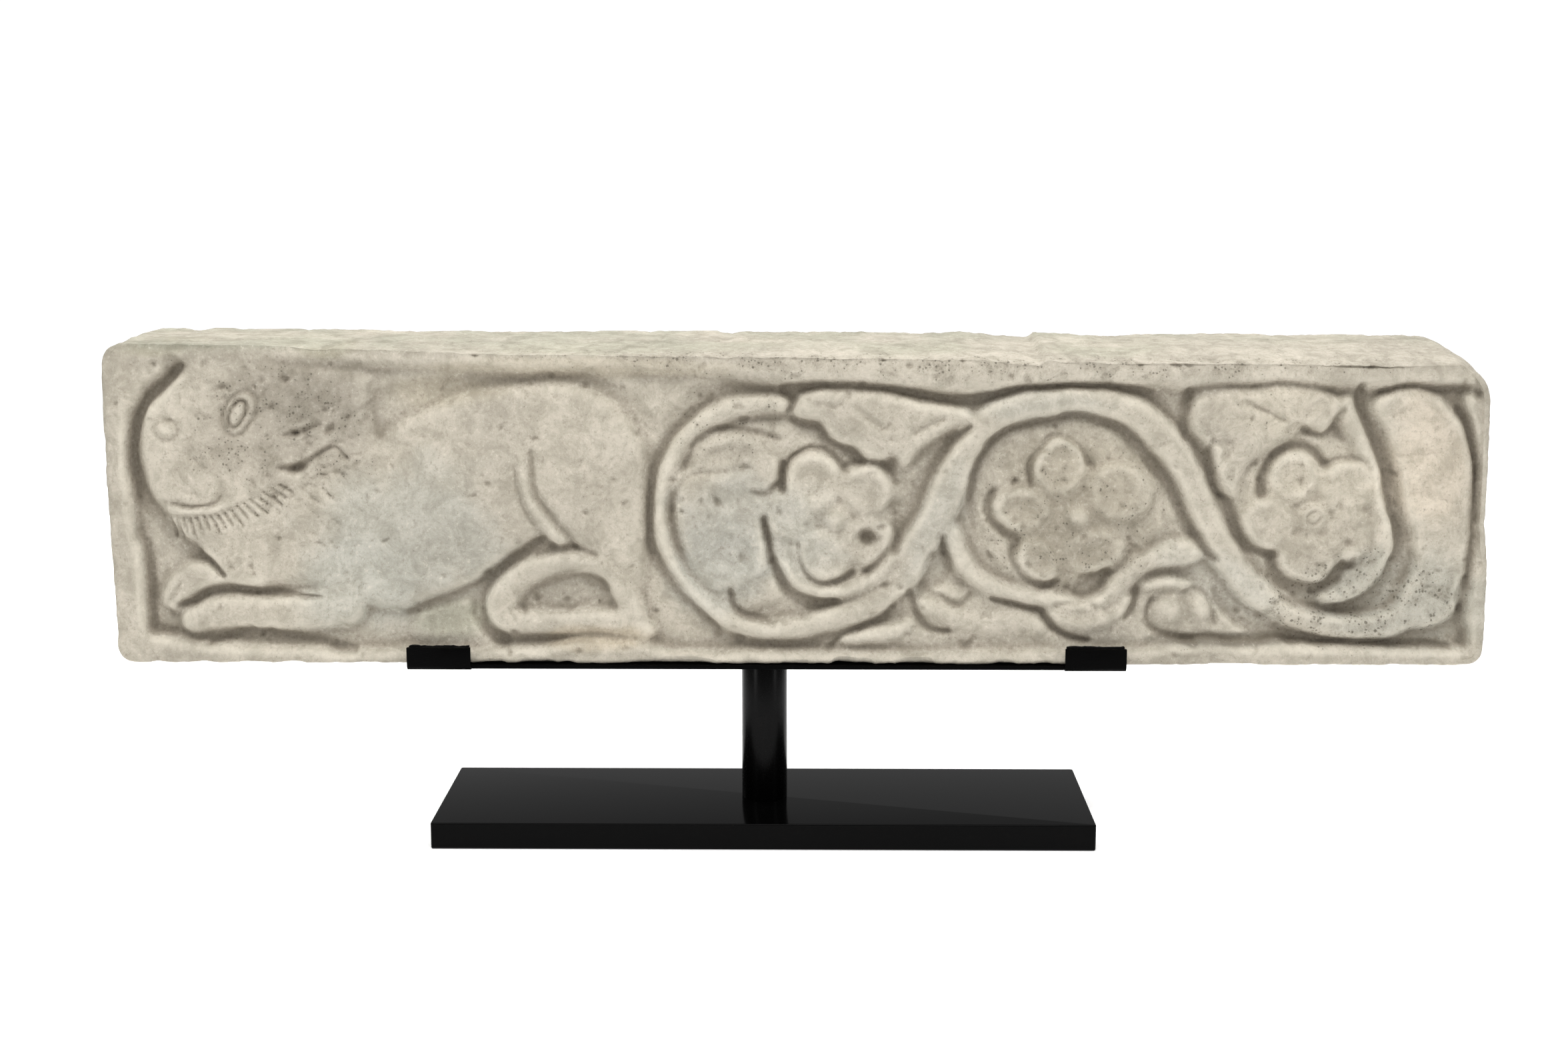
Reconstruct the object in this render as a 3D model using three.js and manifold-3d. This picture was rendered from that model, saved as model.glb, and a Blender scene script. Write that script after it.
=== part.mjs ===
// Carved stone relief panel held in a bent sheet cradle on one post and a base plate.
// Millimetres, +Z up. The carved face looks along -Y. The origin is the middle of the plate's underside.
import * as THREE from 'three';
import Module from 'manifold-3d';

// ---- driving sizes: stand ----
const PLATE_LENGTH = 500;
const PLATE_DEPTH = 150;
const PLATE_THICK = 20;
const PLATE_CORNER = 2;
const PLATE_ARRIS = 1;
const POST_DIAMETER = 35;
const POST_SIDES = 56;
const SHEET = 3;
const TRAY_TOP = 138.5;
const TRAY_LEFT = -266;
const TRAY_RIGHT = 271;
const TAB_TOP = 153;
const TAB_SPANS = { left: [-265.5, -218], right: [225, 270.5] };
const BEND_RADIUS = 5;
const PAD_THICK = 4;
const PAD_TOP = 154.6;
const PAD_FOOT = 141.5;
const PAD_SIDE_GAP = 1.2;

// ---- driving sizes: stone ----
const STONE_LEFT = -487;
const STONE_LENGTH = 1025;
const STONE_DEPTH = 120;
const STONE_FACE = -60;
const ARRIS = 5;
const BORDER = 12.5;
const BED_CHIP = 3.5;

// Every figure below is in panel millimetres: u from the left end, v up from the bed.

// height of the top at the back, the fall of the worn top towards the face
const TOP_BACK = [[0, 243], [60, 242.8], [300, 240.5], [400, 241], [640, 240.6], [690, 236.5], [696, 240.5],
  [740, 238.5], [800, 239.5], [940, 238.5], [1025, 238]];
const TOP_FALL = [[0, 2.5], [110, 3], [300, 8], [520, 10], [700, 11.5], [950, 13], [1025, 13]];
// lower edge of the top border, inner edges of the left and bottom borders
const TOP_BORDER = [[0, 226], [60, 230], [130, 230], [190, 226], [260, 224], [350, 223], [430, 220], [500, 214],
  [520, 211], [600, 209], [640, 206], [700, 213], [740, 213], [800, 210], [850, 213], [900, 210], [960, 212],
  [1025, 210]];
const LEFT_BORDER = [[0, 26], [30, 26], [85, 25], [95, 20], [240, 18]];
const BOTTOM_BORDER = [[0, 22], [30, 22], [60, 15], [100, 13], [200, 9], [320, 12], [350, 20], [395, 18],
  [420, 10], [560, 9], [700, 11], [770, 13], [800, 17], [900, 15], [1025, 14]];
const RIGHT_BORDER = 1014;
const LEFT_LEAN = 4;
const RIGHT_LEAN = 4;
const END_STRETCH = 90;
const CORNER_ROUND = { topLeft: 24, topRight: 44, bottomLeft: 13, bottomRight: 13 };

// raised straps: a run of [u, v, half width], height of the back, squareness of the section
const STRAPS = [
  // near foreleg, far foreleg
  [[[175, 44, 18], [140, 40, 16], [108, 39, 15], [82, 38, 14], [60, 32, 11]], 11.5, 2.6],
  [[[110, 66, 11], [82, 67, 12], [60, 64, 14], [48, 55, 12], [44, 46, 8]], 9.5, 2.4],
  // hind leg: knee over the hollow, foot under it
  [[[291, 36, 12], [293, 50, 13], [306, 66, 11], [330, 76, 9], [352, 78, 9], [374, 70, 10], [386, 52, 11],
    [390, 38, 11]], 11.0, 2.2],
  [[[290, 32, 11], [315, 31, 10], [350, 32, 10], [380, 31, 11], [398, 26, 9]], 11.0, 2.4],
  // tail laid over the haunch
  [[[309, 160, 4], [311, 142, 5], [316, 124, 6], [325, 107, 7], [336, 94, 6]], 13.6, 2.2],
  // first scroll: stem ring
  [[[504, 195, 7], [482, 195, 9], [460, 191, 9], [440, 180, 9], [425, 164, 8.5], [415, 145, 8], [411, 124, 7],
    [411, 104, 7], [414, 86, 8], [422, 70, 8.5], [433, 56, 9], [447, 44, 9], [464, 32, 8], [486, 27, 8],
    [512, 28, 9], [540, 35, 10], [565, 44, 10], [585, 56, 10], [600, 78, 12]], 11.6, 2.3],
  // first scroll: inner ring below the flower
  [[[502, 74, 5], [510, 63, 6], [525, 56, 6], [543, 55, 6], [560, 60, 7], [576, 70, 8], [588, 84, 9],
    [597, 98, 10]], 11.0, 2.2],
  // main stem, from the foot of the first scroll over the second and under the third
  [[[597, 72, 13], [607, 97, 15], [617, 118, 16], [627, 142, 15], [637, 164, 13], [652, 183, 12],
    [676, 193, 12], [705, 198, 11.5], [735, 197, 11.5], [757, 190, 12], [775, 177, 13], [789, 160, 13],
    [801, 140, 12.5], [811, 118, 12.5], [821, 98, 13], [833, 80, 13], [847, 62, 12], [864, 48, 11],
    [884, 38, 11], [910, 30, 11], [940, 29, 11], [968, 38, 11]], 12.6, 3.2],
  // second scroll: tendril ring
  [[[628, 100, 8], [634, 82, 8], [645, 67, 8], [662, 57, 8], [684, 52, 7.5], [706, 49, 7], [726, 45, 7],
    [744, 52, 8], [757, 66, 8.5], [770, 78, 9], [788, 84, 10], [806, 86, 10]], 11.4, 2.3],
  // third scroll: ring to the right of the flower
  [[[905, 50, 6], [924, 57, 8], [938, 70, 9], [946, 88, 9], [947, 106, 8], [943, 126, 8], [937, 146, 8],
    [929, 163, 8], [921, 180, 9], [915, 196, 8]], 11.0, 2.3],
  // sprigs along the bottom
  [[[548, 19, 6], [562, 21, 7], [580, 23, 8], [594, 28, 7]], 10.6, 2.0],
  [[[606, 44, 6], [618, 40, 7], [632, 33, 9], [655, 30, 10], [680, 31, 10], [694, 27, 8]], 10.2, 2.4],
  [[[704, 38, 6], [718, 33, 7], [736, 33, 8], [752, 40, 7], [758, 50, 5]], 11.0, 2.0],
  [[[772, 60, 5], [788, 63, 6], [803, 60, 5]], 10.0, 2.0],
];
// closed outlines: points, height, width of the rolled edge
const PADS = [
  // low floors inside and beside the scrolls
  [[[200, 223], [204, 205], [240, 212], [280, 216], [340, 218], [380, 208], [400, 190], [412, 180], [430, 198],
    [445, 208], [500, 212], [500, 218], [350, 224]], 4.0, 6],
  [[[228, 14], [228, 36], [262, 50], [276, 44], [280, 24], [290, 12]], 4.0, 6],
  [[[420, 120], [430, 155], [450, 178], [500, 184], [512, 178], [560, 150], [590, 140], [584, 90], [560, 62],
    [520, 55], [490, 44], [455, 38], [430, 70]], 4.5, 8],
  [[[644, 120], [650, 150], [668, 174], [700, 183], [740, 180], [765, 158], [788, 128], [794, 105], [770, 88],
    [750, 72], [700, 58], [660, 72]], 3.0, 8],
  [[[832, 125], [845, 150], [870, 170], [900, 175], [925, 165], [938, 140], [940, 90], [925, 60], [880, 56],
    [850, 80]], 4.0, 8],
  [[[768, 14], [768, 60], [800, 66], [826, 50], [850, 26], [850, 16]], 4.0, 6],
  [[[540, 12], [560, 26], [600, 40], [610, 60], [640, 58], [700, 46], [760, 40], [765, 12]], 5.0, 8],
  // bodies the petals grow from
  [[[505, 138], [520, 158], [545, 150], [566, 148], [580, 134], [583, 100], [566, 76], [530, 64], [512, 80],
    [494, 105], [498, 122]], 9.0, 7],
  [[[688, 150], [706, 170], [726, 150], [760, 146], [776, 126], [760, 100], [752, 76], [720, 72], [692, 62],
    [676, 82], [664, 104], [662, 128]], 9.0, 7],
  [[[862, 144], [878, 160], [900, 150], [928, 148], [938, 130], [940, 92], [915, 78], [889, 62], [868, 76],
    [846, 92], [842, 112], [852, 128]], 9.0, 7],
  // half leaf in the first scroll
  [[[421, 112], [424, 135], [432, 152], [446, 168], [466, 173], [486, 170], [498, 158], [500, 144], [496, 134],
    [499, 124], [500, 110], [493, 102], [491, 88], [491, 74], [482, 62], [468, 56], [452, 54], [440, 62],
    [430, 75], [423, 92]], 9.0, 7],
  // lion body with the haunch
  [[[66, 82], [110, 60], [150, 56], [185, 44], [215, 38], [240, 46], [262, 54], [283, 66], [300, 79], [320, 93],
    [345, 86], [372, 74], [386, 58], [394, 44], [400, 70], [401, 110], [402, 150], [398, 168], [389, 186],
    [376, 199], [358, 209], [335, 213.5], [300, 211.5], [275, 206.5], [255, 200], [235, 192], [215, 181],
    [203, 171], [197, 192], [200, 222], [130, 231], [60, 231]], 9.6, 15],
  // lion face
  [[[52, 217], [38, 204], [29, 191], [26, 175], [25, 157], [28, 141], [33, 127], [41, 114], [50, 101], [60, 92],
    [78, 88], [96, 94], [112, 106], [124, 122], [131, 145], [129, 175], [121, 200], [104, 216], [78, 224]],
    12.4, 12],
  // leaf over the first scroll
  [[[509, 186], [512, 200], [522, 206], [545, 208], [575, 206], [600, 201], [622, 198], [642, 192], [640, 182],
    [626, 176], [614, 168], [604, 160], [596, 150], [589, 147], [583, 156], [574, 151], [562, 153],
    [556, 163], [544, 166], [535, 171], [529, 180], [519, 182]], 11.8, 7],
  // half palmette over the third scroll
  [[[800, 176], [800, 190], [804, 202], [815, 208], [845, 210], [885, 209], [906, 204], [915, 194], [908, 182],
    [898, 173], [886, 178], [872, 168], [858, 160], [845, 150], [838, 128], [828, 128], [820, 142], [815, 160]],
    11.6, 8],
  // tall leaf at the right end
  [[[935, 198], [945, 206], [965, 209], [984, 204], [998, 189], [1006, 172], [1011, 150], [1012, 120],
    [1011, 95], [1009, 70], [1007, 45], [992, 30], [972, 27], [955, 38], [962, 58], [969, 74], [966, 95],
    [962, 112], [958, 128], [955, 146], [950, 160], [944, 175], [937, 187]], 11.4, 8],
];
// broad swells: [u, v, half length, half height, turn, rise]
const SWELLS = [
  [190, 118, 66, 78, 0, 2.6],
  [265, 128, 66, 70, 0, 2.2],
  [356, 140, 50, 72, 0, 3.6],
  [72, 160, 44, 56, 0, 1.6],
  [68, 143, 17, 11, 0, 1.6],
  [74, 166, 9, 24, -10, 1.4],
  [60, 200, 26, 12, 25, 0.8],
  [165, 168, 22, 9, -12, 2.0],
  [990, 130, 26, 60, 0, 1.2],
  [962, 196, 16, 10, 0, 1.0],
  [970, 172, 18, 13, 0, 1.2],
  [978, 145, 20, 14, 0, 1.2],
  [985, 110, 22, 16, 0, 1.2],
  [985, 60, 20, 22, 0, 1.6],
  [835, 190, 26, 15, 0, 1.6],
  [878, 196, 20, 9, 0, 1.2],
  [560, 180, 24, 14, 0, 1.4],
  [525, 193, 13, 10, 0, 1.4],
  [600, 186, 24, 9, 10, 1.2],
  [790, 42, 13, 14, 0, 9.0],
  [813, 44, 10, 12, 0, 8.5],
];
// cupped petals and lobes: [u, v, half length, half height, turn, rim height, dish]
const PETALS = [
  // half leaf in the first scroll
  [464, 157, 32, 17, 4, 11.4, 4.2],
  [463, 126, 31, 19, -4, 12.0, 3.8],
  [464, 84, 31, 25, 0, 11.2, 3.8],
  [430, 120, 9, 30, 6, 10.6, 1.6],
  // first flower
  [525, 138, 24, 24, 20, 12.4, 4.6],
  [564, 131, 20, 21, 0, 12.4, 3.4],
  [566, 93, 22, 21, 0, 12.0, 3.6],
  [531, 82, 23, 22, 0, 12.0, 3.4],
  [507, 112, 20, 19, 0, 11.8, 2.8],
  // second flower
  [707, 150, 22, 26, 6, 12.2, 3.6],
  [679, 118, 25, 18, -8, 12.2, 3.8],
  [690, 78, 18, 20, 20, 12.0, 3.0],
  [732, 86, 27, 18, 10, 12.2, 3.0],
  [752, 130, 27, 23, -25, 12.2, 3.4],
  // third flower
  [878, 143, 20, 20, 0, 12.4, 4.4],
  [918, 136, 22, 22, 0, 12.4, 3.2],
  [922, 99, 21, 22, 0, 12.0, 3.8],
  [890, 81, 24, 22, 0, 12.2, 2.8],
  [861, 108, 22, 23, 0, 12.2, 2.6],
];
// flower hearts: [u, v, half length, half height, turn, height]
const BOSSES = [
  [543, 111, 10, 10, 0, 12.6],
  [722, 112, 10, 10, 0, 12.6],
  [894, 113, 13, 13, 0, 13.2],
];
// cut lines: a run of [u, v, half width], depth
const GROOVES = [
  // round the lion's face
  [[[52, 217, 4], [36, 202, 4], [26, 189, 3.5], [22, 172, 3.2], [20.5, 157, 3.5], [22, 142, 4], [27, 126, 5],
    [35, 112, 4.5], [43, 99, 4.5], [51, 89, 6], [62, 82, 5], [74, 76, 3], [84, 66, 2]], 8.5],
  // mouth, lip line and jaw
  [[[49, 121.5, 1.6], [60, 120, 1.8], [72, 121, 1.8], [82, 124, 1.6], [88, 130, 1.2]], 2.4],
  [[[41, 112, 1.3], [55, 111.5, 1.5], [70, 112, 1.5], [83, 113, 1.4], [93, 117, 1.3], [103, 123, 1.3],
    [113, 129, 1.3], [123, 135, 1.2]], 1.8],
  [[[87, 138, 1.5], [85, 130, 1.5], [79, 125, 1.2]], 1.0],
  // ear
  [[[133, 172, 2], [141, 174, 3.5], [149, 177, 2], [160, 181, 1.5]], 4.5],
  [[[130, 148, 2], [142, 147, 4.5], [151, 153, 2.5], [163, 161, 2], [172, 163, 1.5], [180, 155, 1.5]], 5.5],
  // forelegs and paws
  [[[50, 44, 2], [61, 47, 2.5], [71, 54, 3.5], [85, 57.5, 3.8], [102, 56, 3.5], [122, 54, 3], [145, 51, 2],
    [158, 50, 1.2]], 6.5],
  [[[72, 15, 2], [84, 18.5, 3], [95, 23, 3.4], [106, 24, 3.6], [121, 23, 3.4], [142, 19.5, 3], [158, 17, 3],
    [168, 12, 4], [180, 10, 3]], 5.5],
  [[[52, 62, 1.5], [47, 52, 2], [41, 43, 2.5], [43, 35, 2.2]], 3.5],
  [[[26, 92, 2], [28, 75, 3], [28.5, 58, 4], [28, 40, 3.5], [30, 26, 3.5], [44, 24, 3]], 5.5],
  [[[66, 28, 1.5], [72, 33, 1.8], [78, 36, 1.2]], 1.4],
  // belly, knee and hind foot
  [[[222, 38, 3], [240, 44, 4], [262, 52, 5], [281, 64, 5], [299, 77, 4.5], [314, 88, 4], [323, 95, 2.5]], 6.0],
  [[[284, 68, 4], [277, 56, 5], [274, 45, 6], [277, 34, 6], [284, 24, 6], [293, 17, 5]], 8.0],
  [[[330, 90, 2.5], [346, 88, 3], [362, 82, 2.5]], 3.5],
  // tail lines
  [[[316, 161, 2], [317, 148, 2.2], [318, 137, 2.2], [322, 124, 2.4], [330, 112, 2.4], [339, 100, 2.6],
    [348, 88, 2.4]], 4.0],
  [[[303, 149, 1.5], [305, 137, 2], [309, 123, 2], [314, 111, 2], [320, 99, 2]], 2.4],
  // left side of the first scroll
  [[[449, 201, 3], [438, 193, 3.5], [427, 182, 4], [416, 169, 4], [409, 155, 3.5], [405.5, 140, 3],
    [404, 120, 3], [403, 104, 3], [404, 90, 4], [409, 77, 5], [418, 64, 5], [428, 52, 4.5], [438, 42, 4],
    [449, 31, 4], [454, 21, 3]], 8.5],
  // inside of the ring and between the lobes
  [[[421, 116, 1.8], [423, 130, 2.2], [430, 142, 2.6], [440, 146, 2.6], [452, 146, 2], [478, 148, 2]], 3.4],
  [[[434, 164, 2], [444, 174, 2.2], [460, 178, 2.4], [480, 175, 2.4], [498, 170, 2.4]], 3.6],
  [[[463, 56, 2.5], [465, 47, 2.6], [472, 38, 2.6], [486, 35, 2.6], [494, 31, 2]], 5.5],
  [[[500, 152, 2.4], [500, 140, 3], [502, 131, 2.4]], 8.0],
  [[[478, 130, 2], [488, 128, 4], [497, 135, 3]], 5.5],
  [[[488, 110, 3], [491, 95, 3], [493, 80, 3], [498, 67, 3.6], [506, 56, 4.5], [516, 49, 5], [528, 46, 5],
    [541, 47, 3]], 9.0],
  // flower one outline
  [[[501, 132, 2], [501, 145, 2.2], [507, 156, 2.2], [518, 163, 2.4], [532, 163, 2.6], [544, 154, 3],
    [549, 146, 2.6]], 6.0],
  [[[549, 150, 2.6], [558, 153, 2.2], [570, 153, 2], [580, 147, 3], [586, 137, 3.4]], 5.0],
  [[[514, 92, 1.6], [514, 78, 2], [520, 68, 2.6], [531, 62, 2.6], [544, 64, 2.4], [552, 69, 3.4]], 5.0],
  [[[585, 118, 7], [588, 106, 5], [583, 92, 3.5], [574, 78, 3.2], [563, 70, 3]], 5.5],
  // leaf over the first scroll
  [[[503, 207, 4], [509, 199, 4], [508, 191, 2.6]], 8.0],
  [[[510, 184, 3], [519, 181, 3.2], [528, 179, 3], [534, 170, 3], [545, 164, 3.6], [555, 160, 4.5],
    [561, 154, 3]], 7.0],
  [[[526, 196, 1.5], [538, 194, 2], [545, 197, 1.8], [552, 203, 1.2]], 2.6],
  [[[557, 196, 1.2], [563, 188, 1.6], [576, 178, 2.6], [582, 183, 1.5]], 2.6],
  [[[600, 174, 2.4], [607, 179, 2.2], [620, 185, 1.8]], 2.8],
  [[[546, 172, 1.4], [556, 178, 1.6], [562, 186, 1.2]], 1.6],
  // under the top fascia
  [[[508, 209, 4], [520, 209, 4], [545, 210, 3], [575, 208, 3], [590, 205, 3.4], [606, 201, 4], [625, 198.5, 4],
    [645, 200.5, 4], [662, 204, 3.6], [682, 208.5, 3], [705, 210.5, 2.6], [740, 210, 2.6], [757, 208, 3],
    [770, 203, 3.4], [780, 196, 4], [788, 189, 4]], 7.0],
  [[[800, 206, 2.4], [815, 210.5, 2], [850, 212, 1.8], [885, 211, 1.8], [905, 207, 2]], 3.6],
  [[[940, 206, 2], [965, 210, 2], [985, 207, 2.6], [1000, 208, 4], [1011, 204, 4]], 5.0],
  // left edge of the rising stem
  [[[585, 86, 3], [591, 100, 4], [597, 114, 6], [604, 130, 6], [612, 147, 5], [621, 161, 4.4], [630, 171, 3.6],
    [640, 180, 2]], 8.0],
  // under the arch of the second scroll
  [[[643, 104, 2.4], [641, 120, 2.6], [641, 135, 2.4], [645, 150, 2.4], [654, 166, 2.6], [668, 178, 2.6],
    [690, 184, 3], [718, 187, 3.4], [738, 184, 4], [753, 175, 4.6], [767, 161, 5], [779, 148, 5.4],
    [789, 135, 5.4], [796, 120, 5], [802, 106, 5], [811, 93, 4.4], [822, 80, 3]], 7.5],
  // flower two outline
  [[[686, 136, 3], [684, 148, 3], [690, 162, 2.6], [699, 173, 2.4], [712, 171, 2], [722, 163, 2.4],
    [729, 152, 2.4]], 5.0],
  [[[658, 132, 2.6], [653, 120, 3.4], [656, 110, 3.6], [665, 102, 4], [675, 96, 4.5], [674, 86, 4],
    [675, 76, 3], [683, 65, 3], [696, 60, 3.4], [706, 63, 2.4]], 6.5],
  [[[731, 66, 5], [738, 60, 6], [730, 54, 5], [722, 58, 4], [742, 70, 4]], 7.5],
  [[[706, 46, 2], [716, 47, 2.4], [728, 48, 2.4], [736, 44, 2]], 3.6],
  [[[760, 92, 2], [768, 86, 2.4], [778, 92, 1.6]], 2.4],
  // sprigs between the first and second scrolls
  [[[621, 99, 1.2], [623, 86, 2.4], [626, 76, 3], [623, 66, 3.4], [614, 60, 4], [605, 62, 3.6], [608, 72, 4],
    [614, 84, 3]], 5.0],
  [[[595, 56, 2], [598, 47, 2.6], [602, 37, 3.4], [608, 30, 3.4], [617, 25, 2.6], [626, 24, 2]], 6.5],
  [[[593, 52, 2], [583, 44, 2.6], [577, 34, 3], [566, 29, 2], [553, 26.5, 2.4], [543, 20, 2.4],
    [536, 12, 2.4]], 4.5],
  [[[604, 58, 2.4], [613, 53, 3], [622, 50, 2.4], [630, 44, 3.4], [638, 47, 2.6], [642, 53, 1.8]], 4.0],
  [[[658, 50, 2], [673, 46, 2.4], [686, 43, 2.4], [695, 42, 3], [699, 34, 3.4], [706, 26, 3.4], [716, 21, 3],
    [730, 19, 2]], 6.5],
  [[[634, 16, 2], [639, 14, 3], [645, 20, 1.5]], 2.5],
  // between the second and third scrolls
  [[[764, 56, 2.4], [763, 46, 3], [757, 36, 2]], 4.0],
  [[[778, 50, 2], [774, 40, 2], [776, 30, 2.4], [784, 24, 3], [796, 21, 4], [808, 17, 4]], 5.0],
  [[[801, 56, 2], [807, 58, 2.4], [816, 55, 2], [822, 46, 2], [824, 32, 3]], 4.0],
  [[[824, 56, 3], [828, 48, 4], [836, 40, 4], [846, 32, 4.4], [858, 27, 4.8], [870, 24, 4.4], [882, 20, 4],
    [895, 19, 3], [920, 18, 2.4], [950, 17, 2.4], [985, 16, 3], [1000, 15, 2]], 7.5],
  [[[800, 20, 3], [822, 22, 3], [845, 20, 5], [862, 20, 4]], 4.5],
  // third scroll
  [[[801, 206, 2.6], [798, 197, 4], [794, 188, 5], [796, 179, 3.4], [798, 170, 1.6]], 9.0],
  [[[818, 171, 2], [815, 160, 2.6], [817, 146, 3], [819, 134, 2.6], [828, 124, 2]], 5.0],
  [[[822, 168, 4], [830, 166, 5], [827, 158, 4]], 4.0],
  [[[870, 184, 1.6], [858, 191, 2], [842, 197, 2]], 2.4],
  [[[884, 186, 1.6], [887, 193, 1.8], [893, 198, 1.2]], 2.2],
  [[[872, 176, 3], [880, 181, 3], [888, 176, 2], [900, 174, 2], [908, 186, 2.6], [914, 192, 2]], 4.0],
  [[[856, 130, 4.4], [855, 141, 4], [859, 152, 3.4], [868, 161, 3.6], [882, 165, 3.8], [893, 162, 3.4],
    [901, 152, 2.8]], 7.0],
  [[[900, 152, 2.4], [912, 156, 2.4], [928, 155, 3], [936, 148, 2.4]], 3.4],
  [[[830, 124, 3], [835, 112, 4], [840, 100, 4.4], [847, 91, 4.4], [856, 86, 4], [865, 84, 4]], 7.0],
  [[[864, 82, 4.4], [866, 72, 5], [874, 64, 5], [884, 59, 6], [896, 58, 5], [906, 61, 4], [914, 70, 5],
    [918, 74, 4], [926, 76, 2]], 8.0],
  [[[872, 52, 2], [886, 46, 4], [900, 44, 5], [916, 42, 6], [930, 45, 6], [940, 51, 5], [948, 58, 4]], 6.5],
  [[[936, 108, 1.6], [938, 98, 2], [938, 88, 1.6]], 2.4],
  // between the third scroll and the tall leaf
  [[[925, 210, 3], [927, 198, 4.4], [930, 187, 3.6], [935, 176, 3.6], [940, 166, 4.6], [944, 155, 4.4],
    [948, 145, 5], [948, 132, 4.4], [951, 120, 3.6], [956, 106, 3.6], [958, 94, 3.6], [959, 84, 3.6]], 8.0],
  [[[948, 145, 3], [956, 145, 1.6]], 5.0],
  [[[958, 78, 6.5], [958, 70, 7.5], [955, 63, 5]], 8.0],
  [[[998, 192, 3], [1004, 184, 3.6], [1008, 172, 3], [1011, 158, 2.4], [1013, 142, 2], [1014, 126, 1.8],
    [1015, 108, 1.4]], 5.0],
  [[[950, 189, 2], [960, 191, 2.4], [968, 196, 1.4]], 1.6],
  [[[955, 159, 2], [969, 160, 2.6], [983, 161, 1.8]], 1.5],
  [[[966, 131, 2], [980, 129, 3], [994, 124, 2]], 1.5],
  [[[1007, 66, 3], [1004, 52, 3.4], [1006, 42, 3]], 3.5],
];
// hollows: [u, v, half length, half height, turn, depth]
const PITS = [
  [342, 55, 31, 12.5, 8, 9.0],
  [366, 55, 6, 9, 0, 3.0],
  [55, 84, 7, 5, 20, 3.0],
  [52, 226, 9, 8, 0, 3.0],
  [141, 174, 4, 3.5, 0, 3.0],
  [143, 147, 8, 4.5, 10, 3.5],
  [136, 215, 3.6, 3.6, 0, 4.0],
  [141, 220, 3, 2.5, 0, 2.0],
  [68, 154, 2, 1.8, 0, 2.4],
  [88, 186, 7, 14, 0, 1.2],
  [565, 97, 7, 7.5, 0, 6.5],
  [472, 149, 3, 2.4, 0, 3.0],
  [594, 224, 3, 2.4, 0, 4.0],
  [255, 35, 24, 13, 12, 3.0],
  [469, 19, 5, 5, 0, 3.0],
  [885, 139, 4, 6, 15, 2.0],
  [921, 92, 4, 4, 0, 2.6],
  [894, 113, 8, 8, 0, 1.4],
];

// ---- small helpers ----
const clamp01 = (x) => Math.min(1, Math.max(0, x));

function ease(x, low, high) {
  const t = clamp01((x - low) / (high - low));
  return t * t * (3 - 2 * t);
}

function along(table, x) {
  if (x <= table[0][0]) return table[0][1];
  for (let i = 1; i < table.length; i += 1) {
    const [x1, y1] = table[i];
    if (x <= x1) {
      const [x0, y0] = table[i - 1];
      return y0 + ((y1 - y0) * (x - x0)) / (x1 - x0);
    }
  }
  return table[table.length - 1][1];
}

// a smooth run through the points, open or closed; every coordinate is carried along
function smooth(points, steps, isClosed) {
  const n = points.length;
  const at = (i) => {
    if (isClosed) return points[(i + n) % n];
    if (i < 0) return points[0].map((c, k) => 2 * c - points[1][k]);
    if (i >= n) return points[n - 1].map((c, k) => 2 * c - points[n - 2][k]);
    return points[i];
  };
  const run = [];
  const last = isClosed ? n : n - 1;
  for (let i = 0; i < last; i += 1) {
    const [a, b, c, d] = [at(i - 1), at(i), at(i + 1), at(i + 2)];
    for (let s = 0; s < steps; s += 1) {
      const t = s / steps;
      run.push(b.map((q, k) => 0.5 * (2 * q + (c[k] - a[k]) * t
        + (2 * a[k] - 5 * q + 4 * c[k] - d[k]) * t * t
        + (3 * q - a[k] - 3 * c[k] + d[k]) * t * t * t)));
    }
  }
  if (!isClosed) run.push(points[n - 1]);
  return run;
}

// ---- the relief, worked out on an even grid and then worn ----
const FIELD_STEP = 2.5;
const FIELD_COLUMNS = Math.round(STONE_LENGTH / FIELD_STEP) + 1;
const FIELD_ROWS = Math.round(245 / FIELD_STEP) + 1;

function emptyField(value) {
  return new Float64Array(FIELD_COLUMNS * FIELD_ROWS).fill(value);
}

function eachIn(u0, u1, v0, v1, visit) {
  const i0 = Math.max(0, Math.floor(u0 / FIELD_STEP));
  const i1 = Math.min(FIELD_COLUMNS - 1, Math.ceil(u1 / FIELD_STEP));
  const j0 = Math.max(0, Math.floor(v0 / FIELD_STEP));
  const j1 = Math.min(FIELD_ROWS - 1, Math.ceil(v1 / FIELD_STEP));
  for (let j = j0; j <= j1; j += 1) {
    for (let i = i0; i <= i1; i += 1) {
      visit(j * FIELD_COLUMNS + i, i * FIELD_STEP, j * FIELD_STEP);
    }
  }
}

// least share of the half width, over a run of (u, v, half width)
function reach(run, widen) {
  const share = emptyField(1);
  for (let k = 1; k < run.length; k += 1) {
    const [a, b] = [run[k - 1], run[k]];
    const wide = Math.max(a[2], b[2]) * widen;
    const du = b[0] - a[0];
    const dv = b[1] - a[1];
    const length2 = Math.max(du * du + dv * dv, 1e-9);
    eachIn(Math.min(a[0], b[0]) - wide, Math.max(a[0], b[0]) + wide,
      Math.min(a[1], b[1]) - wide, Math.max(a[1], b[1]) + wide, (cell, u, v) => {
        const s = clamp01(((u - a[0]) * du + (v - a[1]) * dv) / length2);
        const gap = Math.hypot(u - a[0] - s * du, v - a[1] - s * dv);
        const part = gap / ((a[2] + s * (b[2] - a[2])) * widen);
        if (part < share[cell]) share[cell] = part;
      });
  }
  return share;
}

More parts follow.
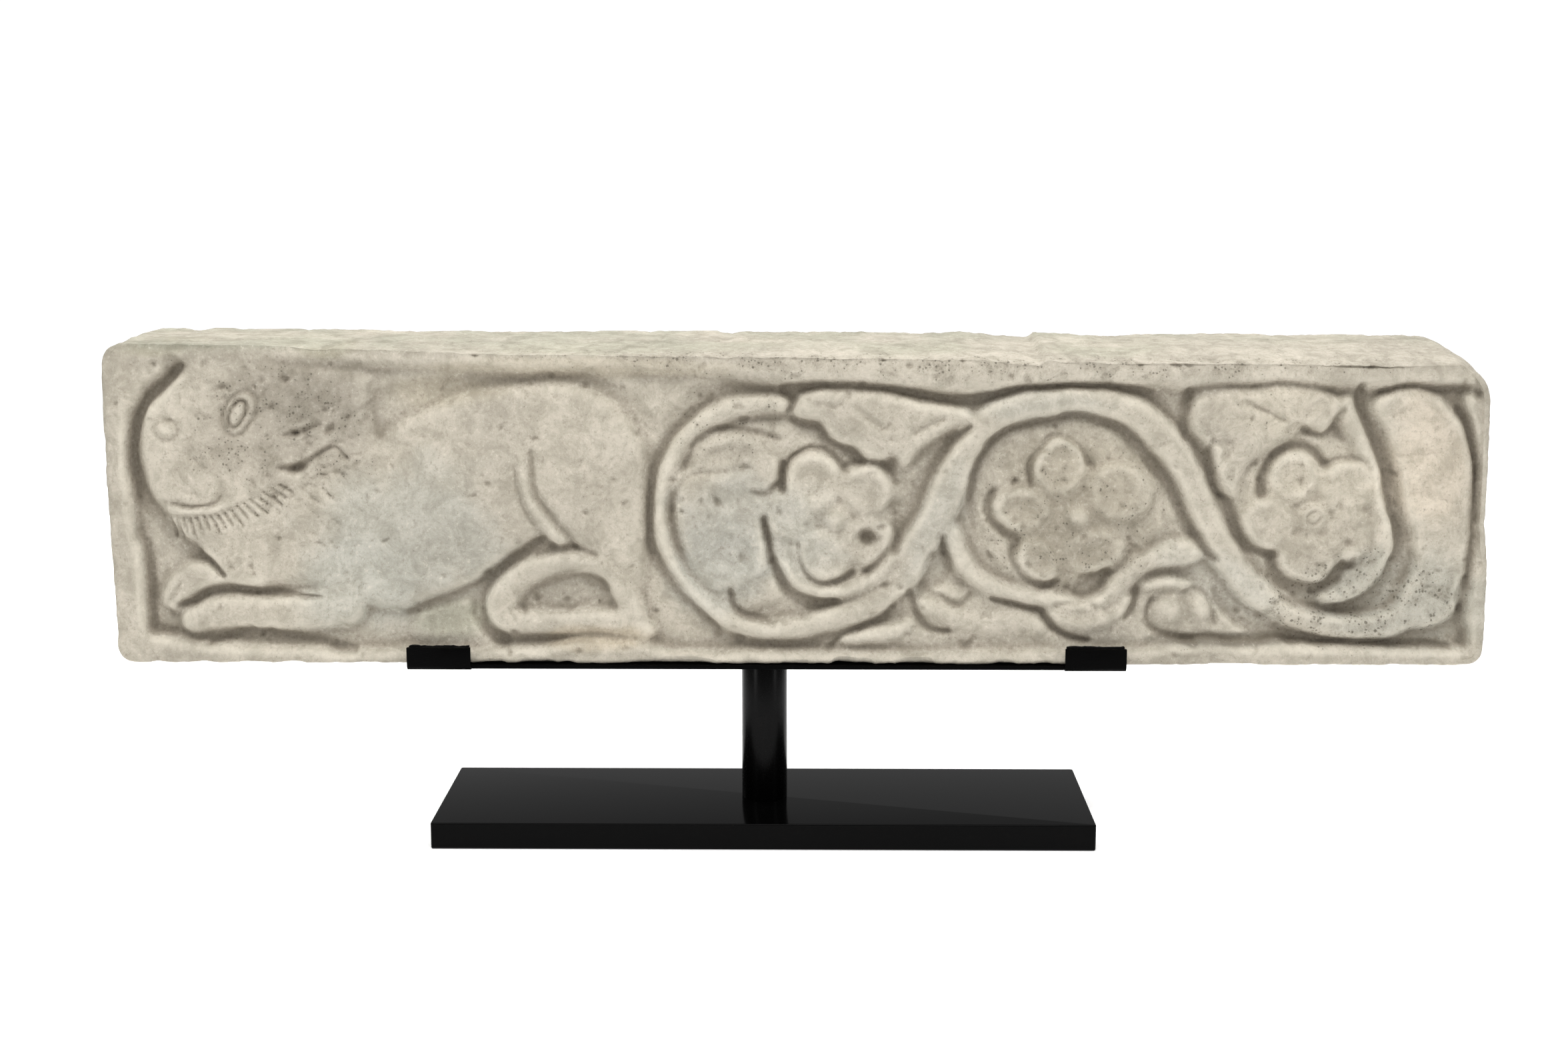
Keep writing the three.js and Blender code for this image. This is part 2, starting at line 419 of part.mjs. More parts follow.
// distance in from a closed outline, nothing outside it
function depthInside(outline, visit) {
  const us = outline.map((p) => p[0]);
  const vs = outline.map((p) => p[1]);
  eachIn(Math.min(...us), Math.max(...us), Math.min(...vs), Math.max(...vs), (cell, u, v) => {
    let gap = 1e9;
    let odd = false;
    outline.forEach((a, k) => {
      const b = outline[(k + 1) % outline.length];
      const du = b[0] - a[0];
      const dv = b[1] - a[1];
      const s = clamp01(((u - a[0]) * du + (v - a[1]) * dv) / Math.max(du * du + dv * dv, 1e-9));
      gap = Math.min(gap, Math.hypot(u - a[0] - s * du, v - a[1] - s * dv));
      if ((a[1] > v) !== (b[1] > v) && u < a[0] + ((v - a[1]) / dv) * du) odd = !odd;
    });
    if (odd) visit(cell, gap);
  });
}

function eachInEllipse([u0, v0, ru, rv, turn], visit) {
  const angle = (turn * Math.PI) / 180;
  const far = Math.max(ru, rv);
  eachIn(u0 - far, u0 + far, v0 - far, v0 + far, (cell, u, v) => {
    const x = (u - u0) * Math.cos(angle) + (v - v0) * Math.sin(angle);
    const y = -(u - u0) * Math.sin(angle) + (v - v0) * Math.cos(angle);
    const share = Math.hypot(x / ru, y / rv);
    if (share < 1) visit(cell, share);
  });
}

function soften(field, passes) {
  let now = field;
  const blend = (from, stepCell, here) => from[here - stepCell] / 4 + from[here] / 2 + from[here + stepCell] / 4;
  for (let pass = 0; pass < passes; pass += 1) {
    const across = now.slice();
    for (let j = 0; j < FIELD_ROWS; j += 1) {
      for (let i = 1; i < FIELD_COLUMNS - 1; i += 1) {
        across[j * FIELD_COLUMNS + i] = blend(now, 1, j * FIELD_COLUMNS + i);
      }
    }
    const down = across.slice();
    for (let j = 1; j < FIELD_ROWS - 1; j += 1) {
      for (let i = 0; i < FIELD_COLUMNS; i += 1) {
        down[j * FIELD_COLUMNS + i] = blend(across, FIELD_COLUMNS, j * FIELD_COLUMNS + i);
      }
    }
    now = down;
  }
  return now;
}

function carve() {
  let field = emptyField(0);
  for (const [path, top, power] of STRAPS) {
    const share = reach(smooth(path, 6, false), 1);
    share.forEach((t, cell) => {
      field[cell] = Math.max(field[cell], top * (1 - t ** (power + 0.6)) ** 0.7);
    });
  }
  for (const [outline, top, edge] of PADS) {
    depthInside(smooth(outline, 4, true), (cell, gap) => {
      const s = clamp01(gap / edge);
      field[cell] = Math.max(field[cell], top * (1 - (1 - s) ** 2.4) ** 0.8);
    });
  }
  for (const petal of PETALS) {
    eachInEllipse(petal, (cell, t) => {
      const rim = petal[5] * (1 - t ** 5) ** 0.7;
      const dish = petal[6] * clamp01(1 - (t / 0.7) ** 2);
      field[cell] = Math.max(t > 0.85 ? field[cell] : 0, rim - dish);
    });
  }
  for (const boss of BOSSES) {
    eachInEllipse(boss, (cell, t) => {
      field[cell] = Math.max(field[cell], boss[5] * (1 - t ** 3) ** 0.6);
    });
  }
  for (const swell of SWELLS) {
    eachInEllipse(swell, (cell, t) => {
      field[cell] += swell[5] * (1 - t * t) ** 1.5;
    });
  }
  eachIn(0, STONE_LENGTH, 0, 245, (cell, u, v) => {
    const border = Math.max(
      ease(v, along(TOP_BORDER, u) - 8, along(TOP_BORDER, u) + 5),
      1 - ease(u, along(LEFT_BORDER, v) - 3, along(LEFT_BORDER, v) + 3),
      1 - ease(v, along(BOTTOM_BORDER, u) - 4, along(BOTTOM_BORDER, u) + 4),
      ease(u, RIGHT_BORDER - 2.5, RIGHT_BORDER + 2.5),
    );
    field[cell] = Math.max(field[cell], border * BORDER);
  });
  field = soften(field, 2);
  for (const [path, depth] of GROOVES) {
    const share = reach(smooth(path, 6, false), 1.35);
    share.forEach((t, cell) => {
      field[cell] -= depth * 0.8 * (1 - t * t) ** 1.5;
    });
  }
  for (const pit of PITS) {
    eachInEllipse(pit, (cell, t) => {
      field[cell] -= pit[5] * (1 - t * t) ** 0.8;
    });
  }
  field = field.map((h) => (h < 1.5 ? 1.5 - 3 * (1 - Math.exp((h - 1.5) / 3)) : h));
  return soften(field, 2);
}

const FIELD = carve();

function reliefAt(u, v) {
  const x = Math.min(FIELD_COLUMNS - 1.001, Math.max(0, u / FIELD_STEP));
  const y = Math.min(FIELD_ROWS - 1.001, Math.max(0, v / FIELD_STEP));
  const i = Math.floor(x);
  const j = Math.floor(y);
  const at = (di, dj) => FIELD[(j + dj) * FIELD_COLUMNS + i + di];
  const low = at(0, 0) * (1 - x + i) + at(1, 0) * (x - i);
  const high = at(0, 1) * (1 - x + i) + at(1, 1) * (x - i);
  return Math.min(BORDER, low * (1 - y + j) + high * (y - j));
}

// ---- closed meshes from rings and grids ----
class Skin {
  constructor() {
    this.points = [];
    this.faces = [];
  }

  add(x, y, z) {
    this.points.push(x, y, z);
    return this.points.length / 3 - 1;
  }

  height(index) {
    return this.points[index * 3 + 1];
  }

  // corners in order round the face; the flatter diagonal is kept
  quad(a, b, c, d) {
    if (Math.abs(this.height(a) - this.height(c)) <= Math.abs(this.height(b) - this.height(d))) {
      this.faces.push(a, b, c, a, c, d);
    } else {
      this.faces.push(a, b, d, b, c, d);
    }
  }

  // joins two closed loops with different counts, both starting at the same corner
  zip(front, back) {
    let [i, j] = [0, 0];
    while (i < front.length || j < back.length) {
      const a = front[i % front.length];
      const b = back[j % back.length];
      if (j >= back.length || (i < front.length && (i + 1) / front.length <= (j + 1) / back.length)) {
        this.faces.push(a, b, front[(i + 1) % front.length]);
        i += 1;
      } else {
        this.faces.push(a, b, back[(j + 1) % back.length]);
        j += 1;
      }
    }
  }

  fan(loop, centre, flip) {
    loop.forEach((a, k) => {
      const b = loop[(k + 1) % loop.length];
      if (flip) this.faces.push(centre, b, a);
      else this.faces.push(centre, a, b);
    });
  }

  geometry() {
    const geometry = new THREE.BufferGeometry();
    geometry.setAttribute('position', new THREE.Float32BufferAttribute(this.points, 3));
    geometry.setIndex(this.faces);
    geometry.computeVertexNormals();
    return geometry;
  }
}

// ---- the stone ----
// how far the outline stands in at depth y, for the worn arrises at the face and the back
function standIn(y) {
  const near = Math.min(y - STONE_FACE, STONE_FACE + STONE_DEPTH - y);
  if (near >= ARRIS) return 0;
  return ARRIS - Math.sqrt(ARRIS * ARRIS - (ARRIS - near) * (ARRIS - near));
}

function topAt(u, y) {
  const t = clamp01((y - STONE_FACE) / STONE_DEPTH);
  const back = STONE_FACE + STONE_DEPTH - y < ARRIS ? standIn(y) : 0;
  return along(TOP_BACK, u) - along(TOP_FALL, u) * (1 - t) ** 2.2 - back;
}

function bedAt(u, y) {
  return standIn(y) * (BED_CHIP / ARRIS);
}

// a square corner drawn in to a round one: distances from the two sides, before and after
function roundCorner(fromEnd, fromEdge, radius) {
  if (fromEnd >= radius || fromEdge >= radius) return [fromEnd, fromEdge];
  const p = 1 - fromEnd / radius;
  const q = 1 - fromEdge / radius;
  return [radius * (1 - p * Math.sqrt(1 - (q * q) / 2)), radius * (1 - q * Math.sqrt(1 - (p * p) / 2))];
}

// u and t run along and up the face; y is the depth of the ring
function onStone(u, t, y) {
  const low = bedAt(u, y);
  const high = topAt(u, y);
  const v = low + (high - low) * t;
  const left = standIn(y) + LEFT_LEAN * ease(v, 140, 30);
  const right = STONE_LENGTH - standIn(y) - RIGHT_LEAN * ease(v, 70, 110);
  // the ends are pushed in over the last stretch, so columns further in stay upright
  const pushLeft = left * clamp01(1 - u / END_STRETCH);
  const pushRight = (STONE_LENGTH - right) * clamp01(1 - (STONE_LENGTH - u) / END_STRETCH);
  const across = u + pushLeft - pushRight;
  const fromEdge = t < 0.5 ? v - low : high - v;
  if (u < STONE_LENGTH / 2) {
    const radius = t < 0.5 ? CORNER_ROUND.bottomLeft : CORNER_ROUND.topLeft;
    const [end, edge] = roundCorner(across - left, fromEdge, radius);
    return [left + end, t < 0.5 ? low + edge : high - edge];
  }
  const radius = t < 0.5 ? CORNER_ROUND.bottomRight : CORNER_ROUND.topRight;
  const [end, edge] = roundCorner(right - across, fromEdge, radius);
  return [right - end, t < 0.5 ? low + edge : high - edge];
}

function columnPositions() {
  const spans = [[0, 24, 4], [24, 140, 12], [140, 400, 19], [400, 985, 73], [985, STONE_LENGTH, 5]];
  const columns = [0];
  for (const [from, to, count] of spans) {
    for (let k = 1; k <= count; k += 1) columns.push(from + ((to - from) * k) / count);
  }
  return columns;
}

function stonePanel() {
  const skin = new Skin();
  const columns = columnPositions();
  const rows = 28;
  const put = (u, t, y) => {
    const [pu, pv] = onStone(u, t, y);
    return skin.add(STONE_LEFT + pu, y, TRAY_TOP + pv);
  };
  // carved face
  const face = columns.map((u) => {
    const column = [];
    for (let j = 0; j <= rows; j += 1) {
      const [pu, pv] = onStone(u, j / rows, STONE_FACE);
      const atRim = j === 0 || j === rows || u === 0 || u === STONE_LENGTH;
      const sunk = atRim ? 0 : BORDER - reliefAt(pu, pv);
      column.push(skin.add(STONE_LEFT + pu, STONE_FACE + sunk, TRAY_TOP + pv));
    }
    return column;
  });
  for (let i = 0; i < columns.length - 1; i += 1) {
    for (let j = 0; j < rows; j += 1) {
      skin.quad(face[i][j], face[i + 1][j], face[i + 1][j + 1], face[i][j + 1]);
    }
  }
  // stations round the rim, from the lower left corner, seen from the front
  const rim = [];
  columns.forEach((u, i) => rim.push({ u, t: 0, index: face[i][0] }));
  for (let j = 1; j <= rows; j += 1) {
    rim.push({ u: STONE_LENGTH, t: j / rows, index: face[columns.length - 1][j] });
  }
  for (let i = columns.length - 2; i >= 0; i -= 1) rim.push({ u: columns[i], t: 1, index: face[i][rows] });
  for (let j = rows - 1; j > 0; j -= 1) rim.push({ u: 0, t: j / rows, index: face[0][j] });
  const corners = [0, columns.length - 1, columns.length - 1 + rows, 2 * (columns.length - 1) + rows];
  const thinned = (every) => rim.filter((station, k) => {
    const start = [...corners].reverse().find((corner) => corner <= k);
    return (k - start) % every === 0;
  });
  let loop = rim.map((station) => station.index);
  const depths = [[1.2, 1], [5, 2], [20, 2], [50, 4], [90, 4], [STONE_DEPTH - ARRIS, 4]];
  for (const [depth, every] of depths) {
    const next = thinned(every).map(({ u, t }) => put(u, t, STONE_FACE + depth));
    skin.zip(loop, next);
    loop = next;
  }
  // dressed back
  const across = 28;
  const up = 7;
  const back = [];
  for (let i = 0; i <= across; i += 1) {
    back.push([]);
    for (let j = 0; j <= up; j += 1) {
      const u = (STONE_LENGTH * i) / across;
      const atRim = i === 0 || j === 0 || i === across || j === up;
      const [pu, pv] = onStone(u, j / up, STONE_FACE + STONE_DEPTH);
      const rough = atRim ? 0 : 1.5 + 1.5 * Math.sin(i * 2.1 + j * 1.3) * Math.cos(i * 0.7 - j * 2.3);
      back[i].push(skin.add(STONE_LEFT + pu, STONE_FACE + STONE_DEPTH - rough, TRAY_TOP + pv));
    }
  }
  for (let i = 0; i < across; i += 1) {
    for (let j = 0; j < up; j += 1) {
      skin.quad(back[i][j], back[i][j + 1], back[i + 1][j + 1], back[i + 1][j]);
    }
  }
  const backRim = [];
  for (let i = 0; i < across; i += 1) backRim.push(back[i][0]);
  for (let j = 0; j < up; j += 1) backRim.push(back[across][j]);
  for (let i = across; i > 0; i -= 1) backRim.push(back[i][up]);
  for (let j = up; j > 0; j -= 1) backRim.push(back[0][j]);
  skin.zip(loop, backRim);
  return skin.geometry();
}

// ---- the stand ----
function basePlate() {
  const skin = new Skin();
  const ring = (inset, z) => {
    const loop = [];
    const halfX = PLATE_LENGTH / 2 - inset;
    const halfY = PLATE_DEPTH / 2 - inset;
    const round = PLATE_CORNER;
    const middles = [[halfX, halfY, 0], [-halfX, halfY, 1], [-halfX, -halfY, 2], [halfX, -halfY, 3]];
    for (const [cx, cy, quarter] of middles) {
      for (let k = 0; k <= 4; k += 1) {
        const angle = ((quarter + k / 4) * Math.PI) / 2;
        const x = cx - Math.sign(cx) * round + round * Math.cos(angle);
        const y = cy - Math.sign(cy) * round + round * Math.sin(angle);
        loop.push(skin.add(x, y, z));
      }
    }
    return loop;
  };
  const rings = [ring(PLATE_ARRIS, 0), ring(0, PLATE_ARRIS), ring(0, PLATE_THICK - PLATE_ARRIS),
    ring(PLATE_ARRIS, PLATE_THICK)];
  skin.fan(rings[0], skin.add(0, 0, 0), true);
  for (let k = 1; k < rings.length; k += 1) {
    rings[k].forEach((above, i) => {
      const j = (i + 1) % rings[k].length;
      skin.faces.push(rings[k - 1][i], rings[k - 1][j], rings[k][j]);
      skin.faces.push(rings[k - 1][i], rings[k][j], above);
    });
  }
  skin.fan(rings[3], skin.add(0, 0, PLATE_THICK), false);
  return skin.geometry();
}

function post() {
  const height = TRAY_TOP - SHEET - PLATE_THICK;
  const geometry = new THREE.CylinderGeometry(POST_DIAMETER / 2, POST_DIAMETER / 2, height, POST_SIDES);
  geometry.rotateX(Math.PI / 2);
  geometry.translate(0, 0, PLATE_THICK + height / 2);
  return geometry;
}

// side view of one bent tab, out from the tray's edge and up; y grows away from the stone
function tabOutline() {
  const outline = [[-4, 0], [-4, -SHEET]];
  const reachOut = PAD_THICK + SHEET;
  for (let k = 0; k <= 6; k += 1) {
    const angle = (k / 6) * (Math.PI / 2);
    outline.push([
      reachOut - BEND_RADIUS + BEND_RADIUS * Math.sin(angle),
      -SHEET + BEND_RADIUS - BEND_RADIUS * Math.cos(angle),
    ]);
  }
  const rise = TAB_TOP - TRAY_TOP;
  outline.push([reachOut, rise - 0.6], [reachOut - 0.6, rise], [PAD_THICK + 0.6, rise], [PAD_THICK, rise - 0.6]);
  const inner = BEND_RADIUS - SHEET;
  for (let k = 0; k <= 4; k += 1) {
    const angle = (1 - k / 4) * (Math.PI / 2);
    outline.push([PAD_THICK - inner + inner * Math.sin(angle), inner - inner * Math.cos(angle)]);
  }
  return outline;
}

// side views are drawn in (y, z) and pushed out along x
function pushedAlongX(outline, x0, x1) {
  const shape = new THREE.Shape(outline.map(([y, z]) => new THREE.Vector2(y, z)));
  const geometry = new THREE.ExtrudeGeometry(shape, { depth: x1 - x0, bevelEnabled: false });
  geometry.applyMatrix4(new THREE.Matrix4().set(0, 0, 1, x0, 1, 0, 0, 0, 0, 1, 0, 0, 0, 0, 0, 1));
  return geometry;
}

const wasm = await Module();
wasm.setup();

function toSolid(geometry) {
  const positions = geometry.getAttribute('position');
  const known = new Map();
  const vertices = [];
  const corners = [];
  const index = geometry.index ? geometry.index.array : [...Array(positions.count).keys()];
  for (const k of index) {
    const point = [positions.getX(k), positions.getY(k), positions.getZ(k)];
    const key = point.map((c) => c.toFixed(4)).join(' ');
    if (!known.has(key)) {
      known.set(key, vertices.length / 3);
      vertices.push(...point);
    }
    corners.push(known.get(key));
  }
  const mesh = new wasm.Mesh({
    numProp: 3,
    vertProperties: new Float32Array(vertices),
    triVerts: new Uint32Array(corners),
  });
  return new wasm.Manifold(mesh);
}

function toGeometry(solid) {
  const mesh = solid.getMesh();
  const geometry = new THREE.BufferGeometry();
  geometry.setAttribute('position', new THREE.Float32BufferAttribute(Array.from(mesh.vertProperties), 3));
  geometry.setIndex(Array.from(mesh.triVerts));
  geometry.computeVertexNormals();
  return geometry;
}

function cradle() {
  const edge = STONE_DEPTH / 2;
  const tray = [[-edge, TRAY_TOP - SHEET], [edge, TRAY_TOP - SHEET], [edge, TRAY_TOP], [-edge, TRAY_TOP]];
  let joined = toSolid(pushedAlongX(tray, TRAY_LEFT, TRAY_RIGHT));
  for (const [x0, x1] of Object.values(TAB_SPANS)) {
    const front = tabOutline().map(([y, z]) => [-edge - y, z + TRAY_TOP]).reverse();
    const rear = tabOutline().map(([y, z]) => [edge + y, z + TRAY_TOP]);
    joined = joined.add(toSolid(pushedAlongX(front, x0, x1)));
    joined = joined.add(toSolid(pushedAlongX(rear, x0, x1)));
  }
  return toGeometry(joined);
}

function feltPad([x0, x1], side) {
  const inner = side * (STONE_DEPTH / 2 + 0.1);
  const outer = side * (STONE_DEPTH / 2 + PAD_THICK);
  const [y0, y1] = [Math.min(inner, outer), Math.max(inner, outer)];
  const width = x1 - x0 - 2 * PAD_SIDE_GAP;
  const geometry = new THREE.BoxGeometry(width, y1 - y0, PAD_TOP - PAD_FOOT);
  geometry.translate((x0 + x1) / 2, (y0 + y1) / 2, (PAD_TOP + PAD_FOOT) / 2);
  return geometry;
}

// ---- the whole ----
const stoneFinish = new THREE.MeshStandardMaterial({ name: 'weathered_limestone', color: 0xc9c2b0, roughness: 0.95 });
const glossBlack = new THREE.MeshStandardMaterial({ name: 'gloss_black_metal', color: 0x0a0a0a, roughness: 0.18 });
const sheetBlack = new THREE.MeshStandardMaterial({ name: 'black_sheet', color: 0x0c0c0c, roughness: 0.45 });
const feltBlack = new THREE.MeshStandardMaterial({ name: 'black_felt', color: 0x080808, roughness: 1 });

const object = new THREE.Group();

function place(name, geometry, finish) {
  const mesh = new THREE.Mesh(geometry, finish.clone());
  mesh.name = name;
  object.add(mesh);
}

place('stone_panel', stonePanel(), stoneFinish);
place('base_plate', basePlate(), glossBlack);
place('post', post(), glossBlack);
place('cradle', cradle(), sheetBlack);
for (const [end, span] of Object.entries(TAB_SPANS)) {
  place(`front_pad_${end}`, feltPad(span, -1), feltBlack);
  place(`rear_pad_${end}`, feltPad(span, 1), feltBlack);
}

export default object;
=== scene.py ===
# %% [markdown]
# # A carved stone panel on its stand
#
# The object is one long block of limestone with a crouching lion and three leafy scrolls cut into its
# face. It stands in a bent black sheet cradle, on a round post and a black plate. The solid model gives
# every size and place. This script gives the carving its finer forms, and every surface its finish.

import itertools
import math

import bpy
import numpy as np
from mathutils import Matrix, Vector


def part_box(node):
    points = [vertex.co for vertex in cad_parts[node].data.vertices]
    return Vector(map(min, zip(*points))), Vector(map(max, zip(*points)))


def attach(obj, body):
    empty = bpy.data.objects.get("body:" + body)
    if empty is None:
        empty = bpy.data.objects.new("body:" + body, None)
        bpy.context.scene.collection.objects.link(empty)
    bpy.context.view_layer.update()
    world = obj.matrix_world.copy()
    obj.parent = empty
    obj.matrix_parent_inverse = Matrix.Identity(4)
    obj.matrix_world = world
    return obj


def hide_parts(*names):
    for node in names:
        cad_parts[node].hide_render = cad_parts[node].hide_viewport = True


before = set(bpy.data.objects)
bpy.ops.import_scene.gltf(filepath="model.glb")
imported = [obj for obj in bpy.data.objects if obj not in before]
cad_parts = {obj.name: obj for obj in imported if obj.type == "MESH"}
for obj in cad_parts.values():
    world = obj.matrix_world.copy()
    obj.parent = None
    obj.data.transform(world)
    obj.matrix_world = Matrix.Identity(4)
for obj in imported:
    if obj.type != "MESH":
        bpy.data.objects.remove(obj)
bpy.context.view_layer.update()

# %% [markdown]
# ## Helpers
#
# Lengths in this script are millimetres, as on a workshop drawing, and Blender's are metres. Colours are
# written as the hex values that a paint chart gives, and turned to the linear light that a renderer adds up.

# %% Units, colours and nodes
MM = 0.001
# a bend sharper than this still shows as an edge: on steel, and on stone and felt
STEEL_EDGE = math.radians(35)
SOFT_EDGE = math.radians(60)


def linear(hex_colour):
    """An sRGB hex colour as linear red, green, blue and alpha."""
    parts = [int(hex_colour[i : i + 2], 16) / 255 for i in (1, 3, 5)]
    return [p / 12.92 if p <= 0.04045 else ((p + 0.055) / 1.055) ** 2.4 for p in parts] + [1.0]


def add_node(tree, kind, settings=None, inputs=None):
    """Adds a node; an input is given a value, or an output socket to link from."""
    node = tree.nodes.new(kind)
    for name, value in (settings or {}).items():
        setattr(node, name, value)
    for name, value in (inputs or {}).items():
        if isinstance(value, bpy.types.NodeSocket):
            tree.links.new(value, node.inputs[name])
        else:
            node.inputs[name].default_value = value
    return node


def noise(tree, coords, size, detail, rough=0.5, warp=0.0):
    """Noise whose lumps have about this size, in millimetres."""
    return add_node(
        tree,
        "ShaderNodeTexNoise",
        inputs={"Vector": coords, "Scale": 1 / (size * MM), "Detail": detail, "Roughness": rough,
                "Distortion": warp},
    ).outputs["Fac"]


def mixed(tree, share, a, b, kind="MIX"):
    """Two colours mixed by a share."""
    return add_node(
        tree, "ShaderNodeMix", {"data_type": "RGBA", "blend_type": kind}, {"Factor": share, "A": a, "B": b}
    ).outputs["Result"]


def new_material(name):
    """An empty material, its node tree and its surface shader."""
    material = bpy.data.materials.new(name)
    material.use_nodes = True
    tree = material.node_tree
    tree.nodes.clear()
    shader = add_node(tree, "ShaderNodeBsdfPrincipled")
    add_node(tree, "ShaderNodeOutputMaterial", inputs={"Surface": shader.outputs["BSDF"]})
    return material, tree, shader


def only(piece):
    """Makes one piece the selected and active one, in object mode."""
    bpy.ops.object.select_all(action="DESELECT")
    piece.select_set(True)
    bpy.context.view_layer.objects.active = piece


def named(name, size=(1, 1, 1)):
    """The object that was just added, stretched to its size, with its place put into its mesh."""
    piece = bpy.context.object
    piece.scale = size
    piece.name = name
    piece.data.name = name
    bpy.ops.object.transform_apply(location=True, rotation=True, scale=True)
    return piece


def finish_modifier(piece, kind, **settings):
    """Adds a modifier and applies it."""
    modifier = piece.modifiers.new(kind.title(), kind)
    for name, value in settings.items():
        setattr(modifier, name, value)
    only(piece)
    bpy.ops.object.modifier_apply(modifier=modifier.name)


def choose_edges(piece, wanted):
    """In edit mode, selects the edges whose two ends, in millimetres, pass a test."""
    bpy.ops.object.mode_set(mode="OBJECT")
    mesh = piece.data
    for group in (mesh.vertices, mesh.edges, mesh.polygons):
        group.foreach_set("select", [False] * len(group))
    points = [vertex.co / MM for vertex in mesh.vertices]
    for edge in mesh.edges:
        if wanted([points[i] for i in edge.vertices]):
            edge.select = True
    bpy.ops.object.mode_set(mode="EDIT")
    bpy.ops.mesh.select_mode(type="EDGE")


def is_level(ends):
    return abs(ends[0].z - ends[1].z) < 0.01


def is_upright(ends):
    return abs(ends[0].z - ends[1].z) > 1


bpy.ops.object.select_all(action="DESELECT")

# %% [markdown]
# ## Camera, light and ground
#
# A panel like this is shown on white paper under wide, soft lamps, so that the carving reads by gentle
# shade and not by hard shadow. One wide lamp hangs above and in front, two tall ones stand to the sides, and
# two square ones light the back. One more lights the paper behind, so that it stays white. The backdrop is
# white to the eye, and the room itself is dim, which keeps the gloss black plate dark.

# %% Camera
camera_data = bpy.data.cameras.new("camera")
camera_data.lens = 50
camera_data.sensor_width = 36
camera = bpy.data.objects.new("camera", camera_data)
camera.location = Vector((33.0, -1646.0, 520.4)) * MM
camera.rotation_euler = (math.radians(90 - 9.774), 0, math.radians(0.622))
bpy.context.scene.collection.objects.link(camera)
bpy.context.scene.camera = camera
bpy.context.scene.view_settings.view_transform = "Standard"

# %% Lamps
# name: place in metres, where it points, width and height in metres, power in watts
LAMPS = {
    "top_lamp": ((0.0, -1.0, 2.2), (0.0, 0.0, 0.2), (2.6, 1.0), 50),
    "left_lamp": ((-1.75, -1.75, 0.8), (0.0, 0.0, 0.25), (0.45, 1.5), 11),
    "right_lamp": ((1.9, -1.3, 0.8), (0.0, 0.0, 0.25), (0.45, 1.5), 8),
    "paper_lamp": ((0.0, 1.5, 2.2), (0.0, 1.6, 0.0), (3.0, 1.4), 46),
    "rear_left_lamp": ((-1.6, 1.8, 1.9), (0.0, 0.0, 0.2), (1.2, 1.2), 16),
    "rear_right_lamp": ((1.6, 1.8, 1.9), (0.0, 0.0, 0.2), (1.2, 1.2), 16),
}
for lamp_name, (place, target, (wide, tall), watts) in LAMPS.items():
    lamp_data = bpy.data.lights.new(lamp_name, "AREA")
    lamp_data.shape = "RECTANGLE"
    lamp_data.size = wide
    lamp_data.size_y = tall
    lamp_data.energy = watts
    lamp = bpy.data.objects.new(lamp_name, lamp_data)
    lamp.location = place
    lamp.rotation_euler = (Vector(target) - Vector(place)).to_track_quat("-Z", "Y").to_euler()
    bpy.context.scene.collection.objects.link(lamp)
print("lamps:", len(LAMPS))

# %% Room and ground
# strengths: the room low down and high up, the white backdrop, and the paper's own faint glow
ROOM_LOW, ROOM_HIGH = 0.22, 0.40
BACKDROP = 1.1
PAPER_GLOW = 0.30
# metres; the paper lies a hair below the plate
PAPER_RADIUS = 2.0
PAPER_DROP = 0.0004
world = bpy.data.worlds.new("soft_room")
bpy.context.scene.world = world
world.use_nodes = True
room = world.node_tree
room.nodes.clear()
look = add_node(room, "ShaderNodeTexCoord")
parts = add_node(room, "ShaderNodeSeparateXYZ", inputs={"Vector": look.outputs["Generated"]})
glow = add_node(
    room,
    "ShaderNodeMapRange",
    inputs={"Value": parts.outputs["Z"], "From Min": 0.1, "From Max": 0.9, "To Min": ROOM_LOW,
            "To Max": ROOM_HIGH},
)
dim_room = add_node(room, "ShaderNodeBackground", inputs={"Strength": glow.outputs["Result"]})
backdrop = add_node(room, "ShaderNodeBackground", inputs={"Strength": BACKDROP})
dim_room.inputs["Color"].default_value = backdrop.inputs["Color"].default_value = (1, 1, 1, 1)
seen = add_node(room, "ShaderNodeLightPath")
either = add_node(room, "ShaderNodeMixShader", inputs={"Fac": seen.outputs["Is Camera Ray"]})
room.links.new(dim_room.outputs["Background"], either.inputs[1])
room.links.new(backdrop.outputs["Background"], either.inputs[2])
add_node(room, "ShaderNodeOutputWorld", inputs={"Surface": either.outputs["Shader"]})

bpy.ops.mesh.primitive_circle_add(
    vertices=96, radius=PAPER_RADIUS, fill_type="NGON", location=(0, 0, -PAPER_DROP)
)
ground = named("ground")
paper, tree, shader = new_material("white_studio_paper")
# matt coated paper: bright, with no gloss, and a faint unevenness of tone
coords = add_node(tree, "ShaderNodeTexCoord")
cloud = add_node(
    tree,
    "ShaderNodeTexNoise",
    inputs={"Vector": coords.outputs["Object"], "Scale": 0.7, "Detail": 2.0},
)
tone = mixed(tree, cloud.outputs["Fac"], linear("#f4f4f4"), linear("#f0f0f0"))
tree.links.new(tone, shader.inputs["Base Color"])
shader.inputs["Roughness"].default_value = 1.0
shader.inputs["Specular IOR Level"].default_value = 0.0
shader.inputs["Emission Color"].default_value = (1, 1, 1, 1)
shader.inputs["Emission Strength"].default_value = PAPER_GLOW
ground.data.materials.append(paper)

